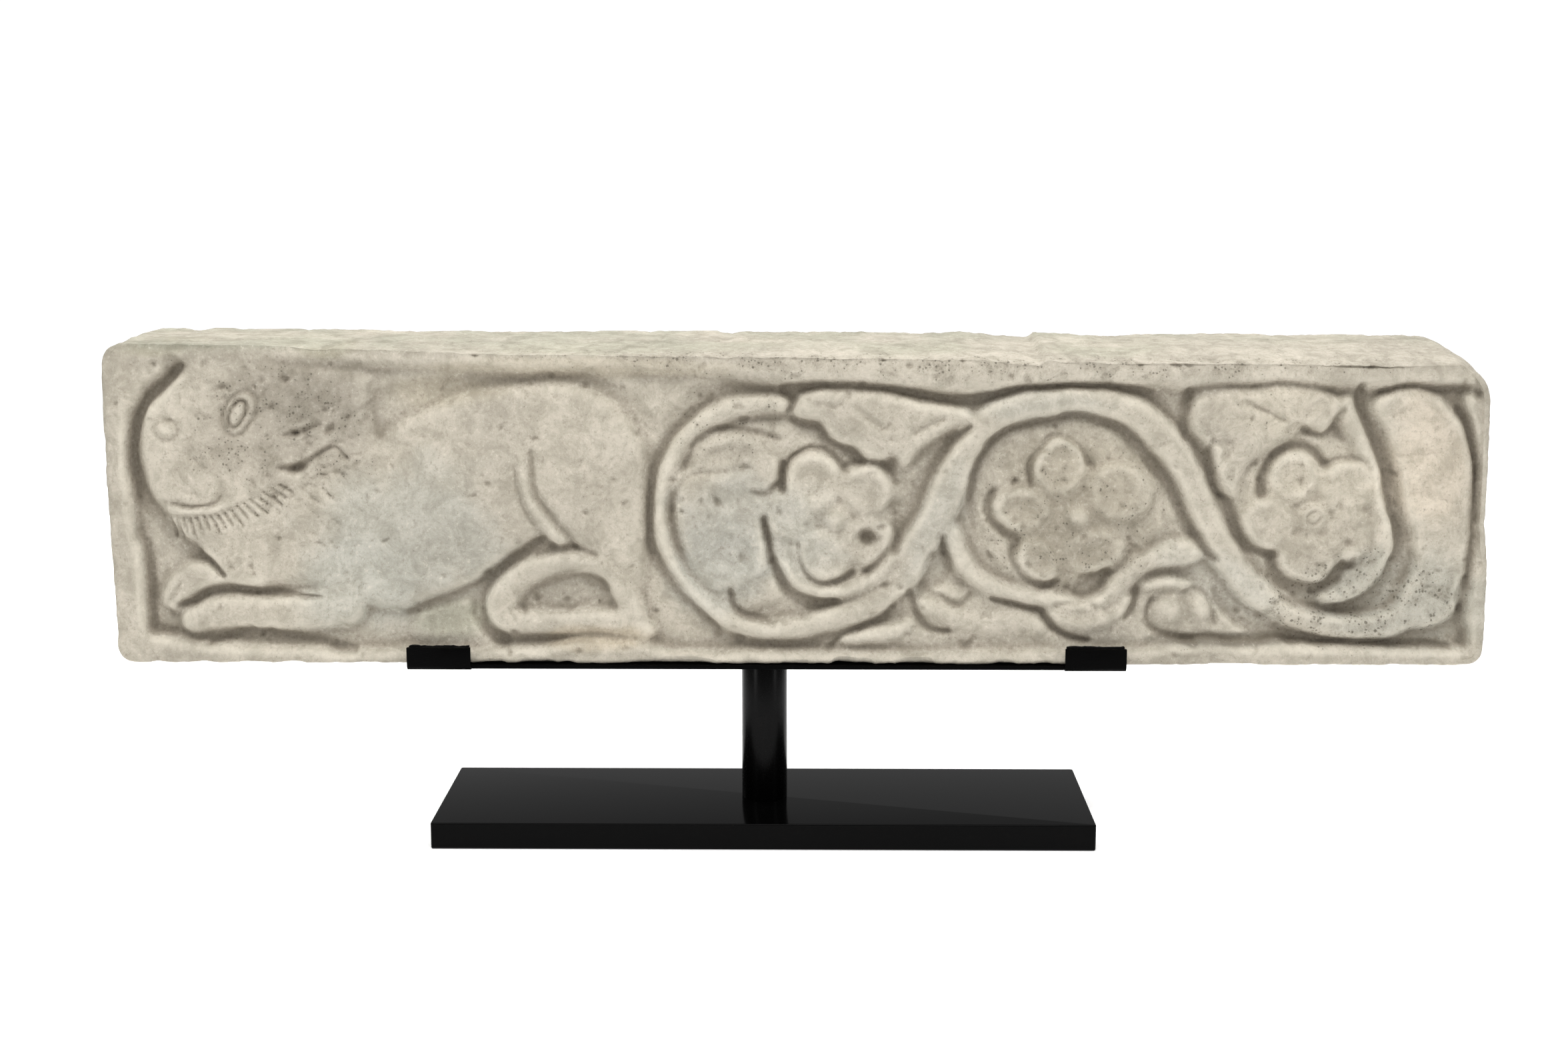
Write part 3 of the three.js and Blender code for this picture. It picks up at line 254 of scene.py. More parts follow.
# %% [markdown]
# ## The carving
#
# Relief is cut from the face inwards: the highest parts stand near the plane of the block's face, and the
# ground between them is sunk by about 12 mm. It is worked out here as a height over that ground, in panel
# millimetres: u from the left end and v up from the bed. Each form is a short list that says where it runs
# and how high it stands: straps for stems, legs and the tail, pads for bodies and leaves, cupped petals,
# bosses, broad swells, grooves and pits. The solid model works from nearly the same lists. Here the flowers
# are cut a little deeper between their petals, and the ground is filled in two corners.

# %% Sizes of the block
# where the block's left end, face and bed lie in the solid model's millimetres
STONE_LEFT = -487
STONE_LENGTH = 1025
STONE_DEPTH = 120
STONE_FACE = -60
BED_HEIGHT = 138.5
# reach of the worn edges, and how far up the one below has worn
ARRIS = 5
BED_CHIP = 3.5
# depth of the ground behind the face, and the border's height over it before the wear
BORDER = 12.5
BORDER_RAISED = 14.2
# above this height a form keeps only a share of what it had
SETTLE_FROM = 8
SETTLE_SHARE = 0.68
# how far a form may stand before the face
PROUD = 1.6
FACE_HEIGHT = 245
# the upper edge at the back, and how much lower it is at the front
TOP_BACK = [(0, 243), (60, 242.8), (300, 240.5), (400, 241), (640, 240.6), (690, 236.5), (696, 240.5),
            (740, 238.5), (800, 239.5), (940, 238.5), (1025, 238)]
TOP_FALL = [(0, 2.5), (110, 3), (300, 8), (520, 10), (700, 11.5), (950, 13), (1025, 13)]
# where the plain border ends and the carving begins
TOP_BORDER = [(0, 226), (60, 230), (130, 230), (190, 226), (260, 224), (350, 223), (430, 220), (500, 214),
              (520, 211), (600, 209), (640, 206), (700, 213), (740, 213), (800, 210), (850, 213),
              (900, 210), (960, 212), (1025, 210)]
LEFT_BORDER = [(0, 26), (30, 26), (85, 25), (95, 20), (240, 18)]
BOTTOM_BORDER = [(0, 22), (30, 22), (60, 15), (100, 13), (200, 9), (320, 12), (350, 20), (395, 18),
                 (420, 10), (560, 9), (700, 11), (770, 13), (800, 17), (900, 15), (1025, 14)]
RIGHT_BORDER = 1014
# how far each end leans in, the width over which the face follows it, and the corners' radii
LEFT_LEAN = 2
RIGHT_LEAN = 4
END_STRETCH = 90
CORNER_ROUND = {"top_left": 17, "top_right": 30, "bottom_left": 13, "bottom_right": 13}

# %% Forms that stand out of the ground
# path (u, v, half width), top, roundness
STRAPS = [
    ([(175, 44, 18), (140, 40, 16), (108, 39, 15), (82, 38, 14), (60, 32, 11)], 11.5, 2.6),
    ([(110, 66, 11), (82, 67, 12), (60, 64, 14), (48, 55, 12), (44, 46, 8)], 9.5, 2.4),
    ([(291, 36, 12), (293, 50, 13), (306, 66, 11), (330, 76, 9), (352, 78, 9), (374, 70, 10), (386, 52, 11),
      (390, 38, 11)], 11.0, 2.2),
    ([(290, 32, 11), (315, 31, 10), (350, 32, 10), (380, 31, 11), (398, 26, 9)], 11.0, 2.4),
    ([(309, 160, 4), (311, 142, 5), (316, 124, 6), (325, 107, 7), (336, 94, 6)], 13.6, 2.2),
    ([(504, 195, 7), (482, 195, 9), (460, 191, 9), (440, 180, 9), (425, 164, 8.5), (415, 145, 8),
      (411, 124, 7), (411, 104, 7), (414, 86, 8), (422, 70, 8.5), (433, 56, 9), (447, 44, 9), (464, 32, 8),
      (486, 27, 8), (512, 28, 9), (540, 35, 10), (565, 44, 10), (585, 56, 10), (600, 78, 12)], 11.6, 2.3),
    ([(502, 74, 5), (510, 63, 6), (525, 56, 6), (543, 55, 6), (560, 60, 7), (576, 70, 8), (588, 84, 9),
      (597, 98, 10)], 11.0, 2.2),
    ([(597, 72, 13), (607, 97, 15), (617, 118, 16), (627, 142, 15), (637, 164, 13), (652, 183, 12),
      (676, 193, 12), (705, 198, 11.5), (735, 197, 11.5), (757, 190, 12), (775, 177, 13), (789, 160, 13),
      (801, 140, 12.5), (811, 118, 12.5), (821, 98, 13), (833, 80, 13), (847, 62, 12), (864, 48, 11),
      (884, 38, 11), (910, 30, 11), (940, 29, 11), (968, 38, 11)], 12.6, 3.2),
    ([(628, 100, 8), (634, 82, 8), (645, 67, 8), (662, 57, 8), (684, 52, 7.5), (706, 49, 7), (726, 45, 7),
      (744, 52, 8), (757, 66, 8.5), (770, 78, 9), (788, 84, 10), (806, 86, 10)], 11.4, 2.3),
    ([(905, 50, 6), (924, 57, 8), (938, 70, 9), (946, 88, 9), (947, 106, 8), (943, 126, 8), (937, 146, 8),
      (929, 163, 8), (921, 180, 9), (915, 196, 8)], 11.0, 2.3),
    ([(548, 19, 6), (562, 21, 7), (580, 23, 8), (594, 28, 7)], 10.6, 2.0),
    ([(606, 44, 6), (618, 40, 7), (632, 33, 9), (655, 30, 10), (680, 31, 10), (694, 27, 8)], 10.2, 2.4),
    ([(704, 38, 6), (718, 33, 7), (736, 33, 8), (752, 40, 7), (758, 50, 5)], 11.0, 2.0),
    ([(772, 60, 5), (788, 63, 6), (803, 60, 5)], 10.0, 2.0),
]
# closed outline (u, v), top, roll of the edge
PADS = [
    ([(200, 223), (204, 205), (240, 212), (280, 216), (340, 218), (380, 208), (400, 190), (412, 180),
      (430, 198), (445, 208), (500, 212), (500, 218), (350, 224)], 4.0, 6),
    ([(228, 14), (228, 36), (262, 50), (276, 44), (280, 24), (290, 12)], 4.0, 6),
    ([(420, 120), (430, 155), (450, 178), (500, 184), (512, 178), (560, 150), (590, 140), (584, 90),
      (560, 62), (520, 55), (490, 44), (455, 38), (430, 70)], 4.5, 8),
    ([(644, 120), (650, 150), (668, 174), (700, 183), (740, 180), (765, 158), (788, 128), (794, 105),
      (770, 88), (750, 72), (700, 58), (660, 72)], 3.0, 8),
    ([(832, 125), (845, 150), (870, 170), (900, 175), (925, 165), (938, 140), (940, 90), (925, 60),
      (880, 56), (850, 80)], 4.0, 8),
    ([(768, 14), (768, 60), (800, 66), (826, 50), (850, 26), (850, 16)], 4.0, 6),
    ([(540, 12), (560, 26), (600, 40), (610, 60), (640, 58), (700, 46), (760, 40), (765, 12)], 5.0, 8),
    ([(505, 138), (520, 158), (545, 150), (566, 148), (580, 134), (583, 100), (566, 76), (530, 64),
      (512, 80), (494, 105), (498, 122)], 5.0, 7),
    ([(688, 150), (706, 170), (726, 150), (760, 146), (776, 126), (760, 100), (752, 76), (720, 72),
      (692, 62), (676, 82), (664, 104), (662, 128)], 5.0, 7),
    ([(862, 144), (878, 160), (900, 150), (928, 148), (938, 130), (940, 92), (915, 78), (889, 62),
      (868, 76), (846, 92), (842, 112), (852, 128)], 5.0, 7),
    ([(421, 112), (424, 135), (432, 152), (446, 168), (466, 173), (486, 170), (498, 158), (500, 144),
      (496, 134), (499, 124), (500, 110), (493, 102), (491, 88), (491, 74), (482, 62), (468, 56), (452, 54),
      (440, 62), (430, 75), (423, 92)], 9.0, 7),
    ([(66, 82), (110, 60), (150, 56), (185, 44), (215, 38), (240, 46), (262, 54), (283, 66), (300, 79),
      (320, 93), (345, 86), (372, 74), (386, 58), (394, 44), (400, 70), (401, 110), (402, 150), (398, 168),
      (389, 186), (376, 199), (358, 209), (335, 213.5), (300, 211.5), (275, 206.5), (255, 200), (235, 192),
      (215, 181), (203, 171), (197, 192), (200, 222), (130, 231), (60, 231)], 9.6, 15),
    ([(52, 217), (38, 204), (29, 191), (26, 175), (25, 157), (28, 141), (33, 127), (41, 114), (50, 101),
      (60, 92), (78, 88), (96, 94), (112, 106), (124, 122), (131, 145), (129, 175), (121, 200), (104, 216),
      (78, 224)], 12.4, 12),
    ([(509, 186), (512, 200), (522, 206), (545, 208), (575, 206), (600, 201), (622, 198), (642, 192),
      (640, 182), (626, 176), (614, 168), (604, 160), (596, 150), (589, 147), (583, 156), (574, 151),
      (562, 153), (556, 163), (544, 166), (535, 171), (529, 180), (519, 182)], 11.8, 7),
    ([(800, 176), (800, 190), (804, 202), (815, 208), (845, 210), (885, 209), (906, 204), (915, 194),
      (908, 182), (898, 173), (886, 178), (872, 168), (858, 160), (845, 150), (838, 128), (828, 128),
      (820, 142), (815, 160)], 11.6, 8),
    ([(935, 198), (945, 206), (965, 209), (984, 204), (998, 189), (1006, 172), (1011, 150), (1012, 120),
      (1011, 95), (1009, 70), (1007, 45), (992, 30), (972, 27), (955, 38), (962, 58), (969, 74), (966, 95),
      (962, 112), (958, 128), (955, 146), (950, 160), (944, 175), (937, 187)], 11.4, 8),
    ([(8, 200), (8, 240), (66, 240), (58, 228), (42, 216), (30, 204), (22, 190)], 10.8, 8),
    ([(1000, 200), (1012, 214), (1024, 200), (1024, 60), (1018, 30), (1009, 34), (1011, 70), (1013, 120),
      (1011, 160)], 10.4, 4),
]
# (u, v, half sizes, turn, rise)
SWELLS = [
    (190, 118, 66, 78, 0, 2.6), (265, 128, 66, 70, 0, 2.2), (356, 140, 50, 72, 0, 3.6),
    (72, 160, 44, 56, 0, 1.6), (68, 143, 17, 11, 0, 1.6), (74, 166, 9, 24, -10, 1.4),
    (60, 200, 26, 12, 25, 0.8), (165, 168, 22, 9, -12, 2.0), (990, 130, 26, 60, 0, 1.2),
    (962, 196, 16, 10, 0, 1.0), (970, 172, 18, 13, 0, 1.2), (978, 145, 20, 14, 0, 1.2),
    (985, 110, 22, 16, 0, 1.2), (985, 60, 20, 22, 0, 1.6), (835, 190, 26, 15, 0, 1.6),
    (878, 196, 20, 9, 0, 1.2), (560, 180, 24, 14, 0, 1.4), (525, 193, 13, 10, 0, 1.4),
    (600, 186, 24, 9, 10, 1.2), (790, 42, 13, 14, 0, 9.0), (813, 44, 10, 12, 0, 8.5)
]
# cupped petals (u, v, half sizes, turn, rim, dish)
PETALS = [
    (464, 157, 32, 17, 4, 11.4, 4.2), (463, 126, 31, 19, -4, 12.0, 3.8), (464, 84, 31, 25, 0, 11.2, 3.8),
    (430, 120, 9, 30, 6, 10.6, 1.6), (525, 138, 24, 24, 20, 12.4, 4.6), (564, 131, 20, 21, 0, 12.4, 3.4),
    (566, 93, 22, 21, 0, 12.0, 3.6), (531, 82, 23, 22, 0, 12.0, 3.4), (507, 112, 20, 19, 0, 11.8, 2.8),
    (707, 150, 22, 26, 6, 12.2, 3.6), (679, 118, 25, 18, -8, 12.2, 3.8), (690, 78, 18, 20, 20, 12.0, 3.0),
    (732, 86, 27, 18, 10, 12.2, 3.0), (752, 130, 27, 23, -25, 12.2, 3.4), (878, 143, 20, 20, 0, 12.4, 4.4),
    (918, 136, 22, 22, 0, 12.4, 3.2), (922, 99, 21, 22, 0, 12.0, 3.8), (890, 81, 24, 22, 0, 12.2, 2.8),
    (861, 108, 22, 23, 0, 12.2, 2.6)
]
# (u, v, half sizes, turn, top)
BOSSES = [
    (543, 111, 10, 10, 0, 12.6), (722, 112, 10, 10, 0, 12.6), (894, 113, 13, 13, 0, 13.2)
]

# %% Lines and hollows cut into them
# path (u, v, half width), depth
GROOVES = [
    ([(52, 217, 4), (36, 202, 4), (26, 189, 3.5), (22, 172, 3.2), (20.5, 157, 3.5), (22, 142, 4),
      (27, 126, 5), (35, 112, 4.5), (43, 99, 4.5), (51, 89, 6), (62, 82, 5), (74, 76, 3), (84, 66, 2)], 8.5),
    ([(49, 121.5, 1.6), (60, 120, 1.8), (72, 121, 1.8), (82, 124, 1.6), (88, 130, 1.2)], 2.4),
    ([(41, 112, 1.3), (55, 111.5, 1.5), (70, 112, 1.5), (83, 113, 1.4), (93, 117, 1.3), (103, 123, 1.3),
      (113, 129, 1.3), (123, 135, 1.2)], 1.8),
    ([(87, 138, 1.5), (85, 130, 1.5), (79, 125, 1.2)], 1.0),
    ([(133, 172, 2), (141, 174, 3.5), (149, 177, 2), (160, 181, 1.5)], 4.5),
    ([(130, 148, 2), (142, 147, 4.5), (151, 153, 2.5), (163, 161, 2), (172, 163, 1.5), (180, 155, 1.5)], 5.5),
    ([(50, 44, 2), (61, 47, 2.5), (71, 54, 3.5), (85, 57.5, 3.8), (102, 56, 3.5), (122, 54, 3),
      (145, 51, 2), (158, 50, 1.2)], 6.5),
    ([(72, 15, 2), (84, 18.5, 3), (95, 23, 3.4), (106, 24, 3.6), (121, 23, 3.4), (142, 19.5, 3),
      (158, 17, 3), (168, 12, 4), (180, 10, 3)], 5.5),
    ([(52, 62, 1.5), (47, 52, 2), (41, 43, 2.5), (43, 35, 2.2)], 3.5),
    ([(26, 92, 2), (28, 75, 3), (28.5, 58, 4), (28, 40, 3.5), (30, 26, 3.5), (44, 24, 3)], 5.5),
    ([(66, 28, 1.5), (72, 33, 1.8), (78, 36, 1.2)], 1.4),
    ([(222, 38, 3), (240, 44, 4), (262, 52, 5), (281, 64, 5), (299, 77, 4.5), (314, 88, 4),
      (323, 95, 2.5)], 6.0),
    ([(284, 68, 4), (277, 56, 5), (274, 45, 6), (277, 34, 6), (284, 24, 6), (293, 17, 5)], 8.0),
    ([(330, 90, 2.5), (346, 88, 3), (362, 82, 2.5)], 3.5),
    ([(316, 161, 2), (317, 148, 2.2), (318, 137, 2.2), (322, 124, 2.4), (330, 112, 2.4), (339, 100, 2.6),
      (348, 88, 2.4)], 4.0),
    ([(303, 149, 1.5), (305, 137, 2), (309, 123, 2), (314, 111, 2), (320, 99, 2)], 2.4),
    ([(449, 201, 3), (438, 193, 3.5), (427, 182, 4), (416, 169, 4), (409, 155, 3.5), (405.5, 140, 3),
      (404, 120, 3), (403, 104, 3), (404, 90, 4), (409, 77, 5), (418, 64, 5), (428, 52, 4.5), (438, 42, 4),
      (449, 31, 4), (454, 21, 3)], 8.5),
    ([(421, 116, 1.8), (423, 130, 2.2), (430, 142, 2.6), (440, 146, 2.6), (452, 146, 2), (478, 148, 2)], 3.4),
    ([(434, 164, 2), (444, 174, 2.2), (460, 178, 2.4), (480, 175, 2.4), (498, 170, 2.4)], 3.6),
    ([(463, 56, 2.5), (465, 47, 2.6), (472, 38, 2.6), (486, 35, 2.6), (494, 31, 2)], 5.5),
    ([(500, 152, 2.4), (500, 140, 3), (502, 131, 2.4)], 8.0),
    ([(478, 130, 2), (488, 128, 4), (497, 135, 3)], 5.5),
    ([(488, 110, 3), (491, 95, 3), (493, 80, 3), (498, 67, 3.6), (506, 56, 4.5), (516, 49, 5), (528, 46, 5),
      (541, 47, 3)], 9.0),
    ([(501, 132, 2), (501, 145, 2.2), (507, 156, 2.2), (518, 163, 2.4), (532, 163, 2.6), (544, 154, 3),
      (549, 146, 2.6)], 6.0),
    ([(549, 150, 2.6), (558, 153, 2.2), (570, 153, 2), (580, 147, 3), (586, 137, 3.4)], 5.0),
    ([(514, 92, 1.6), (514, 78, 2), (520, 68, 2.6), (531, 62, 2.6), (544, 64, 2.4), (552, 69, 3.4)], 5.0),
    ([(585, 118, 7), (588, 106, 5), (583, 92, 3.5), (574, 78, 3.2), (563, 70, 3)], 5.5),
    ([(503, 207, 4), (509, 199, 4), (508, 191, 2.6)], 8.0),
    ([(510, 184, 3), (519, 181, 3.2), (528, 179, 3), (534, 170, 3), (545, 164, 3.6), (555, 160, 4.5),
      (561, 154, 3)], 7.0),
    ([(526, 196, 1.5), (538, 194, 2), (545, 197, 1.8), (552, 203, 1.2)], 2.6),
    ([(557, 196, 1.2), (563, 188, 1.6), (576, 178, 2.6), (582, 183, 1.5)], 2.6),
    ([(600, 174, 2.4), (607, 179, 2.2), (620, 185, 1.8)], 2.8),
    ([(546, 172, 1.4), (556, 178, 1.6), (562, 186, 1.2)], 1.6),
    ([(508, 209, 4), (520, 209, 4), (545, 210, 3), (575, 208, 3), (590, 205, 3.4), (606, 201, 4),
      (625, 198.5, 4), (645, 200.5, 4), (662, 204, 3.6), (682, 208.5, 3), (705, 210.5, 2.6),
      (740, 210, 2.6), (757, 208, 3), (770, 203, 3.4), (780, 196, 4), (788, 189, 4)], 7.0),
    ([(800, 206, 2.4), (815, 210.5, 2), (850, 212, 1.8), (885, 211, 1.8), (905, 207, 2)], 3.6),
    ([(940, 206, 2), (965, 210, 2), (985, 207, 2.6), (1000, 208, 4), (1011, 204, 4)], 5.0),
    ([(585, 86, 3), (591, 100, 4), (597, 114, 6), (604, 130, 6), (612, 147, 5), (621, 161, 4.4),
      (630, 171, 3.6), (640, 180, 2)], 8.0),
    ([(643, 104, 2.4), (641, 120, 2.6), (641, 135, 2.4), (645, 150, 2.4), (654, 166, 2.6), (668, 178, 2.6),
      (690, 184, 3), (718, 187, 3.4), (738, 184, 4), (753, 175, 4.6), (767, 161, 5), (779, 148, 5.4),
      (789, 135, 5.4), (796, 120, 5), (802, 106, 5), (811, 93, 4.4), (822, 80, 3)], 7.5),
    ([(686, 136, 3), (684, 148, 3), (690, 162, 2.6), (699, 173, 2.4), (712, 171, 2), (722, 163, 2.4),
      (729, 152, 2.4)], 5.0),
    ([(658, 132, 2.6), (653, 120, 3.4), (656, 110, 3.6), (665, 102, 4), (675, 96, 4.5), (674, 86, 4),
      (675, 76, 3), (683, 65, 3), (696, 60, 3.4), (706, 63, 2.4)], 6.5),
    ([(731, 66, 5), (738, 60, 6), (730, 54, 5), (722, 58, 4), (742, 70, 4)], 7.5),
    ([(706, 46, 2), (716, 47, 2.4), (728, 48, 2.4), (736, 44, 2)], 3.6),
    ([(760, 92, 2), (768, 86, 2.4), (778, 92, 1.6)], 2.4),
    ([(621, 99, 1.2), (623, 86, 2.4), (626, 76, 3), (623, 66, 3.4), (614, 60, 4), (605, 62, 3.6),
      (608, 72, 4), (614, 84, 3)], 5.0),
    ([(595, 56, 2), (598, 47, 2.6), (602, 37, 3.4), (608, 30, 3.4), (617, 25, 2.6), (626, 24, 2)], 6.5),
    ([(593, 52, 2), (583, 44, 2.6), (577, 34, 3), (566, 29, 2), (553, 26.5, 2.4), (543, 20, 2.4),
      (536, 12, 2.4)], 4.5),
    ([(604, 58, 2.4), (613, 53, 3), (622, 50, 2.4), (630, 44, 3.4), (638, 47, 2.6), (642, 53, 1.8)], 4.0),
    ([(658, 50, 2), (673, 46, 2.4), (686, 43, 2.4), (695, 42, 3), (699, 34, 3.4), (706, 26, 3.4),
      (716, 21, 3), (730, 19, 2)], 6.5),
    ([(634, 16, 2), (639, 14, 3), (645, 20, 1.5)], 2.5),
    ([(764, 56, 2.4), (763, 46, 3), (757, 36, 2)], 4.0),
    ([(778, 50, 2), (774, 40, 2), (776, 30, 2.4), (784, 24, 3), (796, 21, 4), (808, 17, 4)], 5.0),
    ([(801, 56, 2), (807, 58, 2.4), (816, 55, 2), (822, 46, 2), (824, 32, 3)], 4.0),
    ([(824, 56, 3), (828, 48, 4), (836, 40, 4), (846, 32, 4.4), (858, 27, 4.8), (870, 24, 4.4),
      (882, 20, 4), (895, 19, 3), (920, 18, 2.4), (950, 17, 2.4), (985, 16, 3), (1000, 15, 2)], 7.5),
    ([(800, 20, 3), (822, 22, 3), (845, 20, 5), (862, 20, 4)], 4.5),
    ([(801, 206, 2.6), (798, 197, 4), (794, 188, 5), (796, 179, 3.4), (798, 170, 1.6)], 9.0),
    ([(818, 171, 2), (815, 160, 2.6), (817, 146, 3), (819, 134, 2.6), (828, 124, 2)], 5.0),
    ([(822, 168, 4), (830, 166, 5), (827, 158, 4)], 4.0),
    ([(870, 184, 1.6), (858, 191, 2), (842, 197, 2)], 2.4),
    ([(884, 186, 1.6), (887, 193, 1.8), (893, 198, 1.2)], 2.2),
    ([(872, 176, 3), (880, 181, 3), (888, 176, 2), (900, 174, 2), (908, 186, 2.6), (914, 192, 2)], 4.0),
    ([(856, 130, 4.4), (855, 141, 4), (859, 152, 3.4), (868, 161, 3.6), (882, 165, 3.8), (893, 162, 3.4),
      (901, 152, 2.8)], 7.0),
    ([(900, 152, 2.4), (912, 156, 2.4), (928, 155, 3), (936, 148, 2.4)], 3.4),
    ([(830, 124, 3), (835, 112, 4), (840, 100, 4.4), (847, 91, 4.4), (856, 86, 4), (865, 84, 4)], 7.0),
    ([(864, 82, 4.4), (866, 72, 5), (874, 64, 5), (884, 59, 6), (896, 58, 5), (906, 61, 4), (914, 70, 5),
      (918, 74, 4), (926, 76, 2)], 8.0),
    ([(872, 52, 2), (886, 46, 4), (900, 44, 5), (916, 42, 6), (930, 45, 6), (940, 51, 5), (948, 58, 4)], 6.5),
    ([(936, 108, 1.6), (938, 98, 2), (938, 88, 1.6)], 2.4),
    ([(925, 210, 3), (927, 198, 4.4), (930, 187, 3.6), (935, 176, 3.6), (940, 166, 4.6), (944, 155, 4.4),
      (948, 145, 5), (948, 132, 4.4), (951, 120, 3.6), (956, 106, 3.6), (958, 94, 3.6), (959, 84, 3.6)], 8.0),
    ([(948, 145, 3), (956, 145, 1.6)], 5.0),
    ([(958, 78, 6.5), (958, 70, 7.5), (955, 63, 5)], 8.0),
    ([(998, 192, 3), (1004, 184, 3.6), (1008, 172, 3), (1011, 158, 2.4), (1013, 142, 2), (1014, 126, 1.8),
      (1015, 108, 1.4)], 5.0),
    ([(950, 189, 2), (960, 191, 2.4), (968, 196, 1.4)], 1.6),
    ([(955, 159, 2), (969, 160, 2.6), (983, 161, 1.8)], 1.5),
    ([(966, 131, 2), (980, 129, 3), (994, 124, 2)], 1.5),
    ([(1007, 66, 3), (1004, 52, 3.4), (1006, 42, 3)], 3.5),
]
# (u, v, half sizes, turn, depth)
PITS = [
    (342, 55, 31, 12.5, 8, 9.0), (366, 55, 6, 9, 0, 3.0), (55, 84, 7, 5, 20, 3.0), (52, 226, 9, 8, 0, 3.0),
    (141, 174, 4, 3.5, 0, 3.0), (143, 147, 8, 4.5, 10, 3.5), (136, 215, 3.6, 3.6, 0, 4.0),
    (141, 220, 3, 2.5, 0, 2.0), (68, 154, 2, 1.8, 0, 2.4), (88, 186, 7, 14, 0, 1.2),
    (565, 97, 7, 7.5, 0, 6.5), (472, 149, 3, 2.4, 0, 3.0), (594, 224, 3, 2.4, 0, 4.0),
    (255, 35, 24, 13, 12, 3.0), (469, 19, 5, 5, 0, 3.0), (885, 139, 4, 6, 15, 2.0), (921, 92, 4, 4, 0, 2.6),
    (894, 113, 8, 8, 0, 1.4)
]

# %% [markdown]
# ### Fine cutting
#
# The lion's eyes, nose and brow, the strokes of its beard and mane and the rays of a leaf are only one to
# three millimetres deep. They are cut after the softening, as they are the sharpest lines that are left.

# %% Fine lines: path (u, v, half width), depth
FINE_LINES = [
    ([(905, 224, 0.9), (925, 224.4, 1.2), (940, 224, 1.2), (956, 223.6, 0.9)], 1.6),
    ([(842, 200, 1.2), (852, 193, 1.6), (862, 187, 1.6), (872, 182, 1.2)], 1.2),
    ([(870, 186, 1.2), (866, 194, 1.4), (860, 202, 1.2)], 1.0),
    ([(878, 188, 1.2), (878, 196, 1.4), (877, 204, 1.2)], 1.0),
    ([(888, 187, 1.2), (892, 194, 1.4), (898, 201, 1.2)], 1.0),
    ([(68, 172, 3.0), (62, 160, 4.0), (56, 148, 4.0), (55, 138, 3.0)], 1.1),
    ([(84, 168, 3.0), (82, 152, 3.6), (86, 138, 3.0)], 0.9),
    ([(52, 146, 2.0), (50, 138, 2.4), (56, 131, 2.4), (66, 129, 2.0)], 1.2),
    ([(44, 122, 1.6), (52, 120, 2.0), (68, 120, 2.0), (80, 122, 2.0), (86, 127, 1.6)], 1.4),
    ([(84, 206, 2.0), (90, 207, 2.4), (95, 205, 1.6)], 1.6),
    ([(66, 212, 2.0), (74, 214, 2.4), (80, 211, 1.6)], 1.4),
]
# closed rings: middle (u, v), half sizes, turn, half width of the line, depth
RINGS = [
    (100.5, 188.5, 10.5, 5.0, 62, 1.7, 3.0),
    (102, 189.5, 17.5, 10.5, 64, 2.2, 2.2),
    (47, 177, 9.0, 8.0, 10, 2.0, 1.5),
    (894, 113, 5.0, 5.0, 0, 1.4, 1.8),
]
BEARD_STROKES = 17
# raised, not cut: a ridge (u, v, half width) and two ovals (u, v, half sizes, turn)
LIP_RIDGE = [(48, 116, 3), (65, 116.5, 3), (80, 118, 3), (90, 121, 2.4)]
LIP_RISE = 1.2
EYE_BALLS = [(100.5, 188.5, 8.5, 3.6, 62), (47, 177, 6.5, 6.0, 0)]
EYE_RISE = 1.8


def beard_lines():
    """Short strokes that fan down and outwards from the jaw."""
    lines = []
    for k in range(BEARD_STROKES):
        share = k / (BEARD_STROKES - 1)
        u = 47 + 80 * share
        v = 110 + 4 * share + 22 * share**2.2
        turn = math.radians(-84 + 52 * share)
        long = 15 + 3 * math.sin(k * 2.3)
        reach_u, reach_v = math.cos(turn), math.sin(turn)
        lines.append(
            ([(u, v, 1.0), (u + 0.5 * long * reach_u, v + 0.5 * long * reach_v, 1.6),
              (u + long * reach_u, v + long * reach_v, 0.8)], 2.6)
        )
    return lines


# the mane: short strokes that run outwards from the face, in a ring round it
MANE_MIDDLE = (78, 158)
MANE_STROKES = 90
MANE_TOP = 218


def mane_lines():
    draw = np.random.default_rng(5)
    lines = []
    for _ in range(MANE_STROKES):
        turn = math.radians(draw.uniform(-48, 62))
        out, long = draw.uniform(56, 120), draw.uniform(5, 12)
        turn_here = turn + draw.uniform(-0.5, 0.5)
        u, v = MANE_MIDDLE[0] + out * math.cos(turn), MANE_MIDDLE[1] + 0.85 * out * math.sin(turn)
        if v > MANE_TOP:
            continue
        reach_u, reach_v = long * math.cos(turn_here), long * math.sin(turn_here)
        middle = (u + reach_u / 2, v + reach_v / 2 - 0.8, 1.5)
        lines.append(([(u, v, 0.9), middle, (u + reach_u, v + reach_v, 0.8)], draw.uniform(0.6, 1.4)))
    return lines


print("beard strokes:", len(beard_lines()), "mane strokes:", len(mane_lines()))

# %% [markdown]
# ### From lists to heights
#
# Each form has a profile across its width, and where two meet the higher one wins, as when a carver
# leaves the nearer leaf standing. Then the whole is softened, as rain and handling do, and the grooves are
# cut. The work is done with arrays, because the same sum is wanted at some hundred thousand places.

# %% Profiles
def ease(x, low, high):
    t = np.clip((x - low) / (high - low), 0, 1)
    return t * t * (3 - 2 * t)


def along(table, x):
    table = np.array(table, float)
    return np.interp(x, table[:, 0], table[:, 1])


